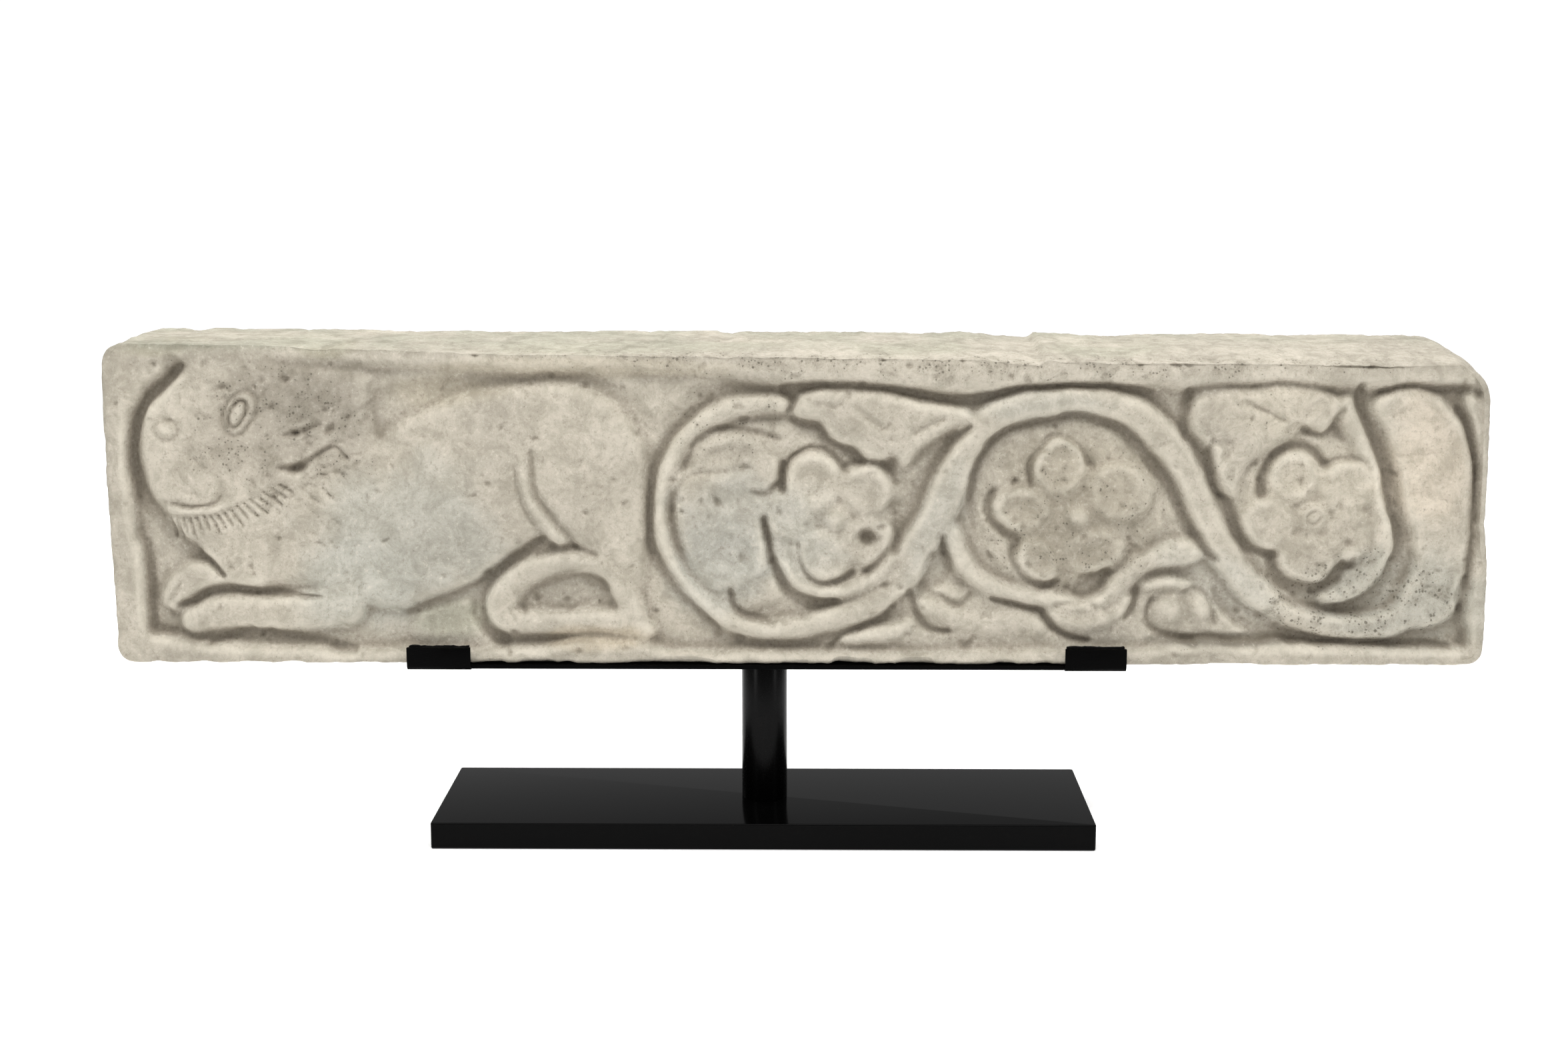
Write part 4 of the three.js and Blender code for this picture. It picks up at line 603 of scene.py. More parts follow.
def smooth_run(points, steps, closed=False):
    """A smooth run through the points; every column is carried along."""
    p = np.array(points, float)
    if closed:
        p = np.vstack([p[-1:], p, p[:2]])
    else:
        p = np.vstack([2 * p[0] - p[1], p, 2 * p[-1] - p[-2]])
    run = []
    for a, b, c, d in zip(p[:-3], p[1:-2], p[2:-1], p[3:]):
        for t in np.arange(steps) / steps:
            run.append(
                0.5 * (2 * b + (c - a) * t + (2 * a - 5 * b + 4 * c - d) * t**2
                       + (3 * b - a - 3 * c + d) * t**3)
            )
    if not closed:
        run.append(p[-2])
    return np.array(run)


def to_segment(u, v, a, b):
    """Share of the way along a segment, and the distance from it."""
    step = b[:2] - a[:2]
    share = ((u - a[0]) * step[0] + (v - a[1]) * step[1]) / max(step @ step, 1e-9)
    share = np.clip(share, 0, 1)
    return share, np.hypot(u - a[0] - share * step[0], v - a[1] - share * step[1])


def strap_share(path, U, V, widen=1.0):
    """Least share of the half width, over a run of (u, v, half width); 1 outside it."""
    least = np.ones(U.shape)
    run = smooth_run([(p[0], p[1], p[2] * widen) for p in path], 6)
    for a, b in zip(run[:-1], run[1:]):
        wide = max(a[2], b[2])
        near = (np.abs(U - (a[0] + b[0]) / 2) < abs(a[0] - b[0]) / 2 + wide) & (
            np.abs(V - (a[1] + b[1]) / 2) < abs(a[1] - b[1]) / 2 + wide
        )
        if near.any():
            share, gap = to_segment(U[near], V[near], a, b)
            least[near] = np.minimum(least[near], gap / (a[2] + share * (b[2] - a[2])))
    return least


def depth_inside(outline, U, V):
    """Distance in from a closed outline, and nothing outside it."""
    run = smooth_run(outline, 4, closed=True)
    low, high = run.min(0), run.max(0)
    near = (U > low[0]) & (U < high[0]) & (V > low[1]) & (V < high[1])
    u, v = U[near], V[near]
    gap = np.full(u.shape, 1e9)
    odd = np.zeros(u.shape, bool)
    for a, b in zip(run, np.roll(run, -1, 0)):
        gap = np.minimum(gap, to_segment(u, v, a, b)[1])
        if a[1] != b[1]:
            crossed = (a[1] > v) != (b[1] > v)
            odd ^= crossed & (u < a[0] + (v - a[1]) / (b[1] - a[1]) * (b[0] - a[0]))
    depth = np.zeros(U.shape)
    depth[near] = np.where(odd, gap, 0)
    return depth


def oval_share(form, U, V):
    """Share of the way out from the middle of an oval (u, v, half sizes, turn)."""
    u0, v0, ru, rv, turn = form[:5]
    c, s = math.cos(math.radians(turn)), math.sin(math.radians(turn))
    return np.hypot(((U - u0) * c + (V - v0) * s) / ru, ((V - v0) * c - (U - u0) * s) / rv)


def soften(field, passes):
    for _ in range(passes):
        wide = np.pad(field, 1, mode="edge")
        field = (wide[1:-1, :-2] + 2 * wide[1:-1, 1:-1] + wide[1:-1, 2:]) / 4
        wide = np.pad(field, 1, mode="edge")
        field = (wide[:-2, 1:-1] + 2 * wide[1:-1, 1:-1] + wide[2:, 1:-1]) / 4
    return field


# %% The field of heights
# side of one cell, and how much deeper the petals are cupped than their list says
CELL = 1.25
DISH = 1.5
U, V = np.meshgrid(np.arange(0, STONE_LENGTH + CELL, CELL), np.arange(0, FACE_HEIGHT + CELL, CELL))
# passes of softening that blur the forms over 2.1 mm, and then the cut lines over 0.9 mm
WEAR = round(2 * (2.1 / CELL) ** 2)
LAST_WEAR = round(2 * (0.9 / CELL) ** 2)


def raised_forms():
    field = np.zeros(U.shape)
    for path, top, power in STRAPS:
        share = strap_share(path, U, V)
        field = np.maximum(field, top * (1 - share ** (power + 0.6)) ** 0.7)
    for outline, top, edge in PADS:
        share = np.clip(depth_inside(outline, U, V) / edge, 0, 1)
        field = np.maximum(field, top * (1 - (1 - share) ** 2.4) ** 0.8)
    for petal in PETALS:
        share = oval_share(petal, U, V)
        rim = petal[5] * np.clip(1 - share**5, 0, 1) ** 0.7
        dish = petal[6] * DISH * (1 - ease(share, 0.30, 0.82))
        field = np.where(share < 1, np.maximum(field * (share > 0.85), rim - dish), field)
    for boss in BOSSES:
        field = np.maximum(field, boss[5] * np.clip(1 - oval_share(boss, U, V) ** 3, 0, 1) ** 0.6)
    for swell in SWELLS:
        field = field + swell[5] * np.clip(1 - oval_share(swell, U, V) ** 2, 0, 1) ** 1.5
    border = np.maximum.reduce([
        ease(V, along(TOP_BORDER, U) - 8, along(TOP_BORDER, U) + 5),
        1 - ease(U, along(LEFT_BORDER, V) - 3, along(LEFT_BORDER, V) + 3),
        1 - ease(V, along(BOTTOM_BORDER, U) - 4, along(BOTTOM_BORDER, U) + 4),
        ease(U, RIGHT_BORDER - 2.5, RIGHT_BORDER + 2.5),
    ])
    return np.maximum(field, border * BORDER_RAISED)


def cut_forms(field):
    for path, depth in GROOVES:
        share = np.clip(strap_share(path, U, V, 1.35), 0, 1)
        field = field - depth * 0.8 * (1 - share**2) ** 1.5
    for pit in PITS:
        field = field - pit[5] * np.clip(1 - oval_share(pit, U, V) ** 2, 0, 1) ** 0.8
    return np.where(field < 1.5, 1.5 - 3 * (1 - np.exp(-(1.5 - field) / 3)), field)


def fine_cutting(field):
    for path, depth in FINE_LINES + beard_lines() + mane_lines():
        share = np.clip(strap_share(path, U, V, 1.25), 0, 1)
        field = field - depth * (1 - share**2)
    for u0, v0, ru, rv, turn, wide, depth in RINGS:
        share = oval_share((u0, v0, ru, rv, turn), U, V)
        off = np.abs(share - 1) * math.sqrt(ru * rv) / wide
        field = field - depth * np.clip(1 - off**2, 0, 1)
    field = field + LIP_RISE * (1 - np.clip(strap_share(LIP_RIDGE, U, V), 0, 1) ** 2)
    for ball in EYE_BALLS:
        field = field + EYE_RISE * np.clip(1 - oval_share(ball, U, V) ** 2, 0, 1) ** 0.7
    return field


carving = soften(raised_forms(), WEAR)
# the highest forms were rubbed down most; the lines cut into them keep their depth
carving = np.where(carving > SETTLE_FROM, SETTLE_FROM + SETTLE_SHARE * (carving - SETTLE_FROM), carving)
carving = soften(cut_forms(carving), LAST_WEAR)
carving = fine_cutting(carving)
print("carving, mm: lowest %.1f, highest %.1f" % (carving.min(), carving.max()))

# %% [markdown]
# ### Weathering
#
# Old limestone is never even. It has broad unevenness from the carver's hand, a rough skin of a fraction
# of a millimetre, and small pits where shells and soft grains have fallen out. Random lumps of several
# sizes are added together, and the pits are scattered one by one, more of them where the stone is worst.

# %% Random lumps and pits
def lumps(x, y, z, size, seed):
    """Soft random lumps of about one size, from -1 to 1."""
    place = np.stack([x, y, z]) / size
    cell = np.floor(place).astype(np.int64)
    part = place - cell
    part = part * part * (3 - 2 * part)
    total = np.zeros(x.shape)
    for corner in itertools.product((0, 1), repeat=3):
        i, j, k = (cell[n] + corner[n] for n in range(3))
        mixed = (i * 374761393 + j * 668265263 + k * 2147483647 + seed * 1442695041) & 0xFFFFFFFF
        mixed = ((mixed ^ (mixed >> 13)) * 1274126177) & 0xFFFFFFFF
        mixed = mixed ^ (mixed >> 16)
        share = np.ones(x.shape)
        for n in range(3):
            share = share * (part[n] if corner[n] else 1 - part[n])
        total = total + share * ((mixed & 0xFFFF) / 32767.5 - 1)
    return total


def roughness_of_skin(x, y, z):
    """Depth worn away, in millimetres; never less than nothing."""
    broad = lumps(x, y, z, 34, 1) * 0.40
    hand = lumps(x, y, z, 11, 2) * 0.40
    skin = lumps(x, y, z, 5.2, 3) * 0.36 + lumps(x, y, z, 2.9, 4) * 0.22
    return np.clip(0.9 + broad + hand + skin, 0, None)


# how rough and pitted each part of the face is: (u, v, half sizes, turn), share
ROUGH_PLACES = [
    ((130, 175, 85, 60, 0), 0.8),
    ((930, 50, 95, 45, 0), 1.0),
    ((720, 110, 90, 70, 0), 0.7),
    ((640, 232, 420, 22, 0), 0.9),
    ((470, 180, 60, 40, 0), 0.6),
    ((840, 170, 60, 50, 0), 0.5),
]
PIT_TRIES = 2600
rough_share = np.full(U.shape, 0.25)
for form, share in ROUGH_PLACES:
    rough_share = np.maximum(rough_share, share * (1 - ease(oval_share(form, U, V), 0.6, 1.15)))


def scatter_pits(field, count, seed):
    draw = np.random.default_rng(seed)
    for _ in range(count):
        u, v = draw.uniform(4, STONE_LENGTH - 4), draw.uniform(4, 238)
        row, column = round(v / CELL), round(u / CELL)
        wide = 0.9 + 2.2 * draw.random() ** 2.5
        deep = (0.5 + 1.2 * draw.random()) * wide / 1.6
        longer, turn = 1 + draw.random(), draw.uniform(0, 180)
        if draw.random() > rough_share[row, column] + 0.1:
            continue
        far = math.ceil(2 * wide / CELL) + 1
        rows = slice(max(0, row - far), row + far + 1)
        columns = slice(max(0, column - far), column + far + 1)
        share = oval_share((u, v, wide * longer, wide, turn), U[rows, columns], V[rows, columns])
        field[rows, columns] -= deep * np.clip(1 - share**2, 0, 1)
    return field


carving = scatter_pits(carving, PIT_TRIES, 11)
print("carving with pits, mm: lowest %.1f, highest %.1f" % (carving.min(), carving.max()))

# %% [markdown]
# ## The block
#
# The block starts as a flat grid, one small square for every 1.8 mm of the face. Each vertex is given
# three numbers: how far along it is, how far up, and how deep. Extruding the rim copies them, so each
# new ring knows where it belongs. When every ring is there, one sum puts all vertices in their places:
# on the carved face, round the worn arris, and along the sides to the back.

# %% The outline at any depth
def stand_in(y):
    """How far the worn arris draws the outline in at this depth."""
    near = np.minimum(y - STONE_FACE, STONE_FACE + STONE_DEPTH - y)
    near = np.clip(near, 0, ARRIS)
    return ARRIS - np.sqrt(ARRIS**2 - (ARRIS - near) ** 2)


# chipped stretches of the lower front edge: from u, to u, how far up
BED_CHIPS = [(303, 336, 2.6), (383, 452, 3.0), (538, 571, 2.2), (586, 617, 2.8), (660, 676, 1.6),
             (820, 846, 2.0)]


def bed_at(u, y):
    """Lower edge of the outline, with its chips."""
    low = stand_in(y) * (BED_CHIP / ARRIS)
    for start, end, rise in BED_CHIPS:
        middle, half = (start + end) / 2, (end - start) / 2
        across = np.clip(1 - ((u - middle) / half) ** 4, 0, 1)
        low = low + rise * across * np.clip(1 - (y - STONE_FACE) / 9, 0, 1)
    return low


def top_at(u, y):
    t = np.clip((y - STONE_FACE) / STONE_DEPTH, 0, 1)
    back = np.where(STONE_FACE + STONE_DEPTH - y < ARRIS, stand_in(y), 0)
    return along(TOP_BACK, u) - along(TOP_FALL, u) * (1 - t) ** 2.2 - back


def on_block(u, t, y):
    """Panel place of a point: u and t run along and up the face, y is the depth."""
    low, high = bed_at(u, y), top_at(u, y)
    v = low + (high - low) * t
    left = stand_in(y) + LEFT_LEAN * ease(v, 140, 30)
    right = STONE_LENGTH - stand_in(y) - RIGHT_LEAN * ease(v, 70, 110)
    across = (
        u
        + left * np.clip(1 - u / END_STRETCH, 0, 1)
        - (STONE_LENGTH - right) * np.clip(1 - (STONE_LENGTH - u) / END_STRETCH, 0, 1)
    )
    lower, at_left = t < 0.5, u < STONE_LENGTH / 2
    from_edge = np.where(lower, v - low, high - v)
    from_end = np.where(at_left, across - left, right - across)
    radius = np.where(
        at_left,
        np.where(lower, CORNER_ROUND["bottom_left"], CORNER_ROUND["top_left"]),
        np.where(lower, CORNER_ROUND["bottom_right"], CORNER_ROUND["top_right"]),
    )
    p, q = np.clip(1 - from_end / radius, 0, 1), np.clip(1 - from_edge / radius, 0, 1)
    rounded = (p > 0) & (q > 0)
    end = np.where(rounded, radius * (1 - p * np.sqrt(1 - q * q / 2)), from_end)
    edge = np.where(rounded, radius * (1 - q * np.sqrt(1 - p * p / 2)), from_edge)
    return np.where(at_left, left + end, right - end), np.where(lower, low + edge, high - edge), end, edge


def sample(field, u, v):
    """The field's value between its cells."""
    x = np.clip(u / CELL, 0, field.shape[1] - 1.001)
    y = np.clip(v / CELL, 0, field.shape[0] - 1.001)
    i, j = x.astype(int), y.astype(int)
    x, y = x - i, y - j
    low = field[j, i] * (1 - x) + field[j, i + 1] * x
    high = field[j + 1, i] * (1 - x) + field[j + 1, i + 1] * x
    return low * (1 - y) + high * y


# %% Grid, rings and back
FACE_COLUMNS = 560
FACE_ROWS = 132
BACK_COLUMNS = 140
BACK_ROWS = 33
RING_DEPTHS = [0.8, 2.5, 5, 11, 20, 32, 46, 60, 76, 92, 106, 115]


def put_mark(mesh, mark, values):
    if mark not in mesh.attributes:
        mesh.attributes.new(mark, "FLOAT", "POINT")
    mesh.attributes[mark].data.foreach_set("value", values.astype(np.float32))


def marked_grid(name, columns, rows, depth):
    """A flat grid whose vertices know their share along, their share up and their depth."""
    bpy.ops.mesh.primitive_grid_add(x_subdivisions=columns, y_subdivisions=rows, size=1)
    grid = named(name)
    places = np.empty(len(grid.data.vertices) * 3, np.float32)
    grid.data.vertices.foreach_get("co", places)
    places = places.reshape(-1, 3)
    # the grid is one metre square, and its middle is the origin
    put_mark(grid.data, "share_along", places[:, 0] + 0.5)
    put_mark(grid.data, "share_up", places[:, 1] + 0.5)
    put_mark(grid.data, "depth", places[:, 2] + depth)
    return grid


def get_mark(mesh, mark):
    values = np.empty(len(mesh.vertices), np.float32)
    mesh.attributes[mark].data.foreach_get("value", values)
    return values.astype(float)


bpy.ops.object.select_all(action="DESELECT")
back = marked_grid("back", BACK_COLUMNS, BACK_ROWS, STONE_DEPTH)
bpy.ops.object.mode_set(mode="EDIT")
bpy.ops.mesh.select_all(action="SELECT")
bpy.ops.mesh.flip_normals()
bpy.ops.object.mode_set(mode="OBJECT")
stone = marked_grid("carved_stone", FACE_COLUMNS, FACE_ROWS, 0)

bpy.ops.object.mode_set(mode="EDIT")
bpy.ops.mesh.select_mode(type="EDGE")
bpy.ops.mesh.select_all(action="SELECT")
bpy.ops.mesh.region_to_loop()
for ring_depth in RING_DEPTHS:
    bpy.ops.mesh.extrude_edges_move(TRANSFORM_OT_translate={"value": (0, 0, -MM * ring_depth)})
    bpy.ops.object.mode_set(mode="OBJECT")
    chosen = np.zeros(len(stone.data.vertices), bool)
    stone.data.vertices.foreach_get("select", chosen)
    depths = get_mark(stone.data, "depth")
    depths[chosen] = ring_depth
    put_mark(stone.data, "depth", depths)
    bpy.ops.object.mode_set(mode="EDIT")
bpy.ops.object.mode_set(mode="OBJECT")
print("face and rings:", len(stone.data.vertices), "vertices, chosen last:", int(chosen.sum()))

# %% [markdown]
# The back has larger squares than the face, because a plain back needs fewer. Bridging joins the last
# ring to its rim, whatever the two counts are.

# %% Join the back
back.data.transform(Matrix.Translation((0, 0, -0.3)))
only(stone)
back.select_set(True)
bpy.ops.object.join()
bpy.ops.object.mode_set(mode="EDIT")
bpy.ops.mesh.select_mode(type="EDGE")
bpy.ops.mesh.select_all(action="DESELECT")
bpy.ops.mesh.select_non_manifold(extend=False, use_wire=False, use_boundary=True,
                                 use_multi_face=False, use_non_contiguous=False, use_verts=False)
bpy.ops.mesh.bridge_edge_loops()
bpy.ops.object.mode_set(mode="OBJECT")

# %% Put every vertex in its place
mesh = stone.data
along_u = get_mark(mesh, "share_along") * STONE_LENGTH
up_t = get_mark(mesh, "share_up")
depth = get_mark(mesh, "depth")
place_y = STONE_FACE + depth
place_u, place_v, from_end, from_edge = on_block(along_u, up_t, place_y)

at_bed, at_top_edge = up_t < 1e-4, up_t > 1 - 1e-4
at_end = (along_u < 1e-2) | (along_u > STONE_LENGTH - 1e-2)
on_rim = (from_end < 1e-3) | (from_edge < 1e-3) | at_bed | at_top_edge | at_end
on_face = depth < 1e-3
on_back = depth > STONE_DEPTH - 1e-3

# the outline's own normal, from how near the end and the edge are
lean_u = np.exp(-np.clip(from_end, 0, 80) / 8) * np.where(along_u < STONE_LENGTH / 2, -1, 1)
lean_v = np.exp(-np.clip(from_edge, 0, 80) / 8) * np.where(up_t < 0.5, -1, 1)
length = np.hypot(lean_u, lean_v)
lean_u, lean_v = lean_u / length, lean_v / length

worn = roughness_of_skin(place_u, place_y, place_v)


def drift(seed):
    """A hand-cut line is never quite where it was drawn."""
    flat = place_y * 0
    return 1.3 * lumps(place_u, flat, place_v, 24, seed) + 0.6 * lumps(place_u, flat, place_v, 9, seed + 1)


cut_u, cut_v = place_u + drift(31), place_v + drift(33)
# the face sinks under the carving; its rim rolls over a little, with chips
rim_u, rim_v, rim_end, rim_edge = on_block(along_u, up_t, np.full(len(depth), float(STONE_FACE)))
rim_gap = np.minimum(rim_end, rim_edge)
chips = np.clip(lumps(rim_u, depth * 0, rim_v, 17, 7) - 0.25, 0, 1) * 3.2 * (1 - ease(rim_gap, 0, 9))
at_top = ease(up_t, 0.75, 0.9)
rolled = 0.3 + (1.6 + 1.6 * at_top) * (1 - ease(rim_gap, 0, 6 + 6 * at_top))
# the usual wear is taken off again, so that the skin is rough both ways
USUAL_WEAR = 0.75
sunk = BORDER - sample(carving, cut_u, cut_v) + worn - USUAL_WEAR
# a worn form may stand a little proud of the block's face, but not where the cradle holds it
proudest = -PROUD * ease(place_v, 20, 40) * ease(rim_gap, 6, 20)
sunk = np.where(on_rim, 0, np.maximum(sunk, proudest)) + rolled + chips
# the first rings start from the rim, wherever it has worn to
RING_START = 20
behind = rolled + chips + depth * (RING_START - rolled - chips) / RING_START
final_y = STONE_FACE + np.where(on_face, sunk, np.where(depth < RING_START, behind, depth))

# sides, top and bed wear inwards; the bed stays flat where it rests
bedded = at_bed & (depth > 8)
top_rough = np.where(at_top_edge, 1.5, 1.0)
wear_in = np.where(bedded, 0.0, np.clip(worn - 0.6, 0, None) * top_rough)
dips = np.clip(lumps(place_u, place_y, place_v, 23, 9) - 0.3, 0, 1) * 3.0 * at_top_edge
wear_in = np.where(on_rim, wear_in + dips + chips * 0.5, 0)
place_u = place_u - lean_u * wear_in
place_v = place_v - lean_v * wear_in

# the back is only roughly dressed, with broad tool marks
hollows = 1.2 + 1.3 * lumps(place_u, place_y, place_v, 60, 5) + 0.8 * lumps(place_u, place_y, place_v, 16, 6)
final_y = np.where(on_back & ~on_rim, final_y - np.clip(hollows + worn, 0.1, None), final_y)

places = np.stack([STONE_LEFT + place_u, final_y, BED_HEIGHT + place_v], 1) * MM
mesh.vertices.foreach_set("co", places.astype(np.float32).ravel())
mesh.update()
bpy.ops.object.select_all(action="DESELECT")
only(stone)
bpy.ops.object.mode_set(mode="EDIT")
bpy.ops.mesh.select_all(action="SELECT")
bpy.ops.mesh.quads_convert_to_tris(quad_method="SHORTEST_DIAGONAL")
bpy.ops.mesh.normals_make_consistent(inside=False)
bpy.ops.object.mode_set(mode="OBJECT")
bpy.ops.object.shade_smooth_by_angle(angle=SOFT_EDGE)
print("stone triangles:", len(mesh.polygons), "size, m:", [round(v, 4) for v in stone.dimensions])

# %% [markdown]
# ## Colour of the stone
#
# Clean limestone is a warm pale grey. Over the centuries it has taken soot in the hollows, yellow-green
# and grey lichen along the top, rust-brown and greenish stains low down, and a pinker tone where the
# surface is fresh. Broad stains are painted on the vertices as ovals with ragged edges. The hollows of the
# carving are also painted darker, partly as soot and partly as painted shade, and its raised edges paler,
# partly as rubbing and partly as painted highlight. The shader adds what is finer than the mesh: mottling,
# grain and black specks.

# %% Stains
STONE_COLOUR = "#c9c1b1"
# colour, strength, ovals (u, v, half sizes, turn)
STAINS = [
    ("#c1bfb3", 0.70, [(225, 95, 80, 62, 0), (185, 60, 55, 45, 0)]),
    ("#c3c1b6", 0.60, [(480, 100, 70, 52, 0), (455, 70, 40, 40, 0)]),
    ("#cecabd", 0.60, [(690, 195, 60, 14, 0), (830, 62, 60, 22, -30), (620, 110, 22, 60, -20)]),
    ("#d1c8b6", 0.70, [(895, 120, 60, 55, 0), (880, 190, 70, 25, 0)]),
    ("#dacebb", 0.80, [(975, 155, 38, 55, 0)]),
    ("#b9b6a9", 0.80, [(960, 50, 80, 45, 0)]),
    ("#aba394", 0.65, [(130, 178, 75, 52, 0), (150, 210, 60, 26, 0)]),
    ("#c4b59c", 0.60, [(360, 20, 48, 11, 0)]),
    ("#c5bba6", 0.60, [(250, 205, 60, 14, 0), (350, 222, 130, 9, 0)]),
    ("#b1b09c", 0.60, [(255, 34, 34, 16, 0)]),
    ("#a5a089", 0.60, [(45, 236, 30, 7, 0), (165, 236, 22, 8, 0)]),
    ("#b5b39f", 0.60, [(380, 238, 140, 6, 0), (600, 236, 50, 6, 0), (740, 234, 50, 5, 0)]),
    ("#8f897c", 0.80, [(840, 19, 70, 6, 0)]),
    ("#a9a08d", 0.60, [(715, 120, 70, 64, 0)]),
]
# the lamps make the stone a little brighter than its own colour
OWN_SHARE = 0.77
# the colour of the hollows: soot, and painted shade where the carving is low
GRIME_AND_SHADE = "#6f6658"


def blend(base, colour, share):
    return base * (1 - share[:, None]) + np.array(linear(colour)[:3]) * share[:, None]


patchy = 0.5 * lumps(place_u, final_y, place_v, 26, 21) + 0.35 * lumps(place_u, final_y, place_v, 9, 22)
tint = np.tile(np.array(linear(STONE_COLOUR)[:3]), (len(place_u), 1))
for colour, strength, ovals in STAINS:
    for form in ovals:
        share = oval_share(form, place_u, place_v)
        mask = strength * (1 - ease(share + 0.35 * patchy, 0.55, 1.15)) * (final_y < 0)
        tint = blend(tint, colour, mask)
# lichen on the top and over its front edge, and a duller tone on the other plain sides
upwards = ease(place_v, 232, 240) * (up_t > 0.9)
tint = blend(tint, "#b4b19f", upwards * np.clip(0.6 + 1.2 * patchy, 0, 1))
tint = blend(tint, "#bcb4a4", 0.6 * ease(final_y, -40, 30) * (1 - upwards))
tint = OWN_SHARE * tint * (1 + 0.10 * lumps(place_u, final_y, place_v, 48, 23))[:, None]

# dust, soot and painted shade lie where the carving is lower than what is round it, and raised edges are
# paler, partly rubbed and partly a painted highlight
wide_soot_and_shade = np.clip((soften(carving, 90) - carving) / 5.5, 0, 1)
narrow_soot_and_shade = np.clip((soften(carving, 12) - carving) / 2.4, 0, 1)
# raised edges: rubbed pale, and a painted highlight
rubbed_and_lit_field = np.clip((carving - soften(carving, 20)) / 2.2, 0, 1)
near_face = on_face | (depth < 4)
cut_line = np.clip((soften(carving, 6) - carving) / 0.9, 0, 1)
# the hollows' painted shade and soot, broad and narrow, with the cut lines darkest
soot_and_shade_field = soften(0.62 * wide_soot_and_shade + 0.36 * narrow_soot_and_shade, 7) + 0.38 * cut_line
soot_and_shade = np.where(near_face, np.clip(sample(soot_and_shade_field, cut_u, cut_v), 0, 1), 0.0)
rubbed_and_lit = np.where(near_face, np.clip(sample(rubbed_and_lit_field, cut_u, cut_v), 0, 1), 0.0)
speck = np.where(final_y < -40, sample(soften(rough_share, 20), place_u, place_v), 0.4)

tint_layer = mesh.color_attributes.new("stone_tint", "FLOAT_COLOR", "POINT")
tint_layer.data.foreach_set("color", np.hstack([tint, np.ones((len(tint), 1))]).astype(np.float32).ravel())
for mark, values in {"soot_and_shade": soot_and_shade, "rubbed_and_lit": rubbed_and_lit, "speck": speck}.items():
    put_mark(mesh, mark, values)
for mark in ("share_along", "share_up", "depth"):
    mesh.attributes.remove(mesh.attributes[mark])
print("hollow, mean and most: %.2f %.2f" % (soot_and_shade.mean(), soot_and_shade.max()))

# %% Weathered limestone
limestone, tree, shader = new_material("weathered_limestone")
# fine-grained limestone, cut and then weathered: matt, chalky, mottled, with soot and painted shade in the
# hollows
coords = add_node(tree, "ShaderNodeTexCoord").outputs["Object"]
tint_in = add_node(tree, "ShaderNodeVertexColor", {"layer_name": "stone_tint"}).outputs["Color"]
# the hollows' soot and painted shade, the specks, and the edges' rubbing and painted highlight
soot_and_shade_in = add_node(tree, "ShaderNodeAttribute", {"attribute_name": "soot_and_shade"}).outputs["Fac"]
speck_in = add_node(tree, "ShaderNodeAttribute", {"attribute_name": "speck"}).outputs["Fac"]
rubbed_and_lit_in = add_node(tree, "ShaderNodeAttribute", {"attribute_name": "rubbed_and_lit"}).outputs["Fac"]


def sum_of(kind, a, b, c=0.0):
    """One step of arithmetic on values or sockets."""
    node = add_node(tree, "ShaderNodeMath", {"operation": kind})
    for socket, value in zip(node.inputs, (a, b, c)):
        if isinstance(value, bpy.types.NodeSocket):
            tree.links.new(value, socket)
        else:
            socket.default_value = value
    return node.outputs[0]


def ranged(value, low, high, to_low, to_high):
    """A value eased from one range into another."""
    return add_node(
        tree,
        "ShaderNodeMapRange",
        {"interpolation_type": "SMOOTHSTEP"},
        {"Value": value, "From Min": low, "From Max": high, "To Min": to_low, "To Max": to_high},
    ).outputs["Result"]


mottle = noise(tree, coords, 16, 7, 0.75, 0.4)
grain = noise(tree, coords, 3.2, 4, 0.75)
fine_grain = noise(tree, coords, 1.4, 2, 0.7)
shade = ranged(mottle, 0.34, 0.66, 0.79, 1.10)
shades = add_node(
    tree,
    "ShaderNodeCombineColor",
    inputs={"Red": shade, "Green": shade, "Blue": ranged(mottle, 0.34, 0.66, 0.77, 1.11)},
).outputs["Color"]
colour = mixed(tree, 1.0, tint_in, shades, "MULTIPLY")
colour = mixed(tree, ranged(grain, 0.52, 0.74, 0.0, 0.60), colour, linear("#877f71"))
colour = mixed(tree, ranged(grain, 0.46, 0.26, 0.0, 0.6), colour, linear("#d6cfc0"))
# raised edges paler: partly rubbing, partly a painted highlight
colour = mixed(tree, ranged(rubbed_and_lit_in, 0.1, 0.9, 0.0, 0.35), colour, linear("#dfd8c8"))
# soot and painted shade in the hollows, broken up by mottle and grain: first to the grime colour, then nearly
# black
soot_and_shade_amount = sum_of("MULTIPLY_ADD", sum_of("SUBTRACT", mottle, 0.5), 0.5, soot_and_shade_in)
soot_and_shade_amount = sum_of("MULTIPLY_ADD", sum_of("SUBTRACT", grain, 0.5), 0.7, soot_and_shade_amount)
colour = mixed(tree, ranged(soot_and_shade_amount, 0.05, 0.90, 0.0, 0.72), colour, linear(GRIME_AND_SHADE))
colour = mixed(tree, ranged(soot_and_shade_amount, 0.70, 1.25, 0.0, 0.5), colour, linear("#40392f"))
# dull grey smudges where the skin is worst
smudge = sum_of("MULTIPLY", speck_in, ranged(sum_of("ADD", mottle, grain), 0.98, 0.72, 0.0, 0.75))
colour = mixed(tree, smudge, colour, linear("#726b5e"))
# black specks, one for each cell, larger and closer where the skin is worst
cells = add_node(
    tree, "ShaderNodeTexVoronoi", inputs={"Vector": coords, "Scale": 1 / (2.4 * MM), "Randomness": 1.0}
)
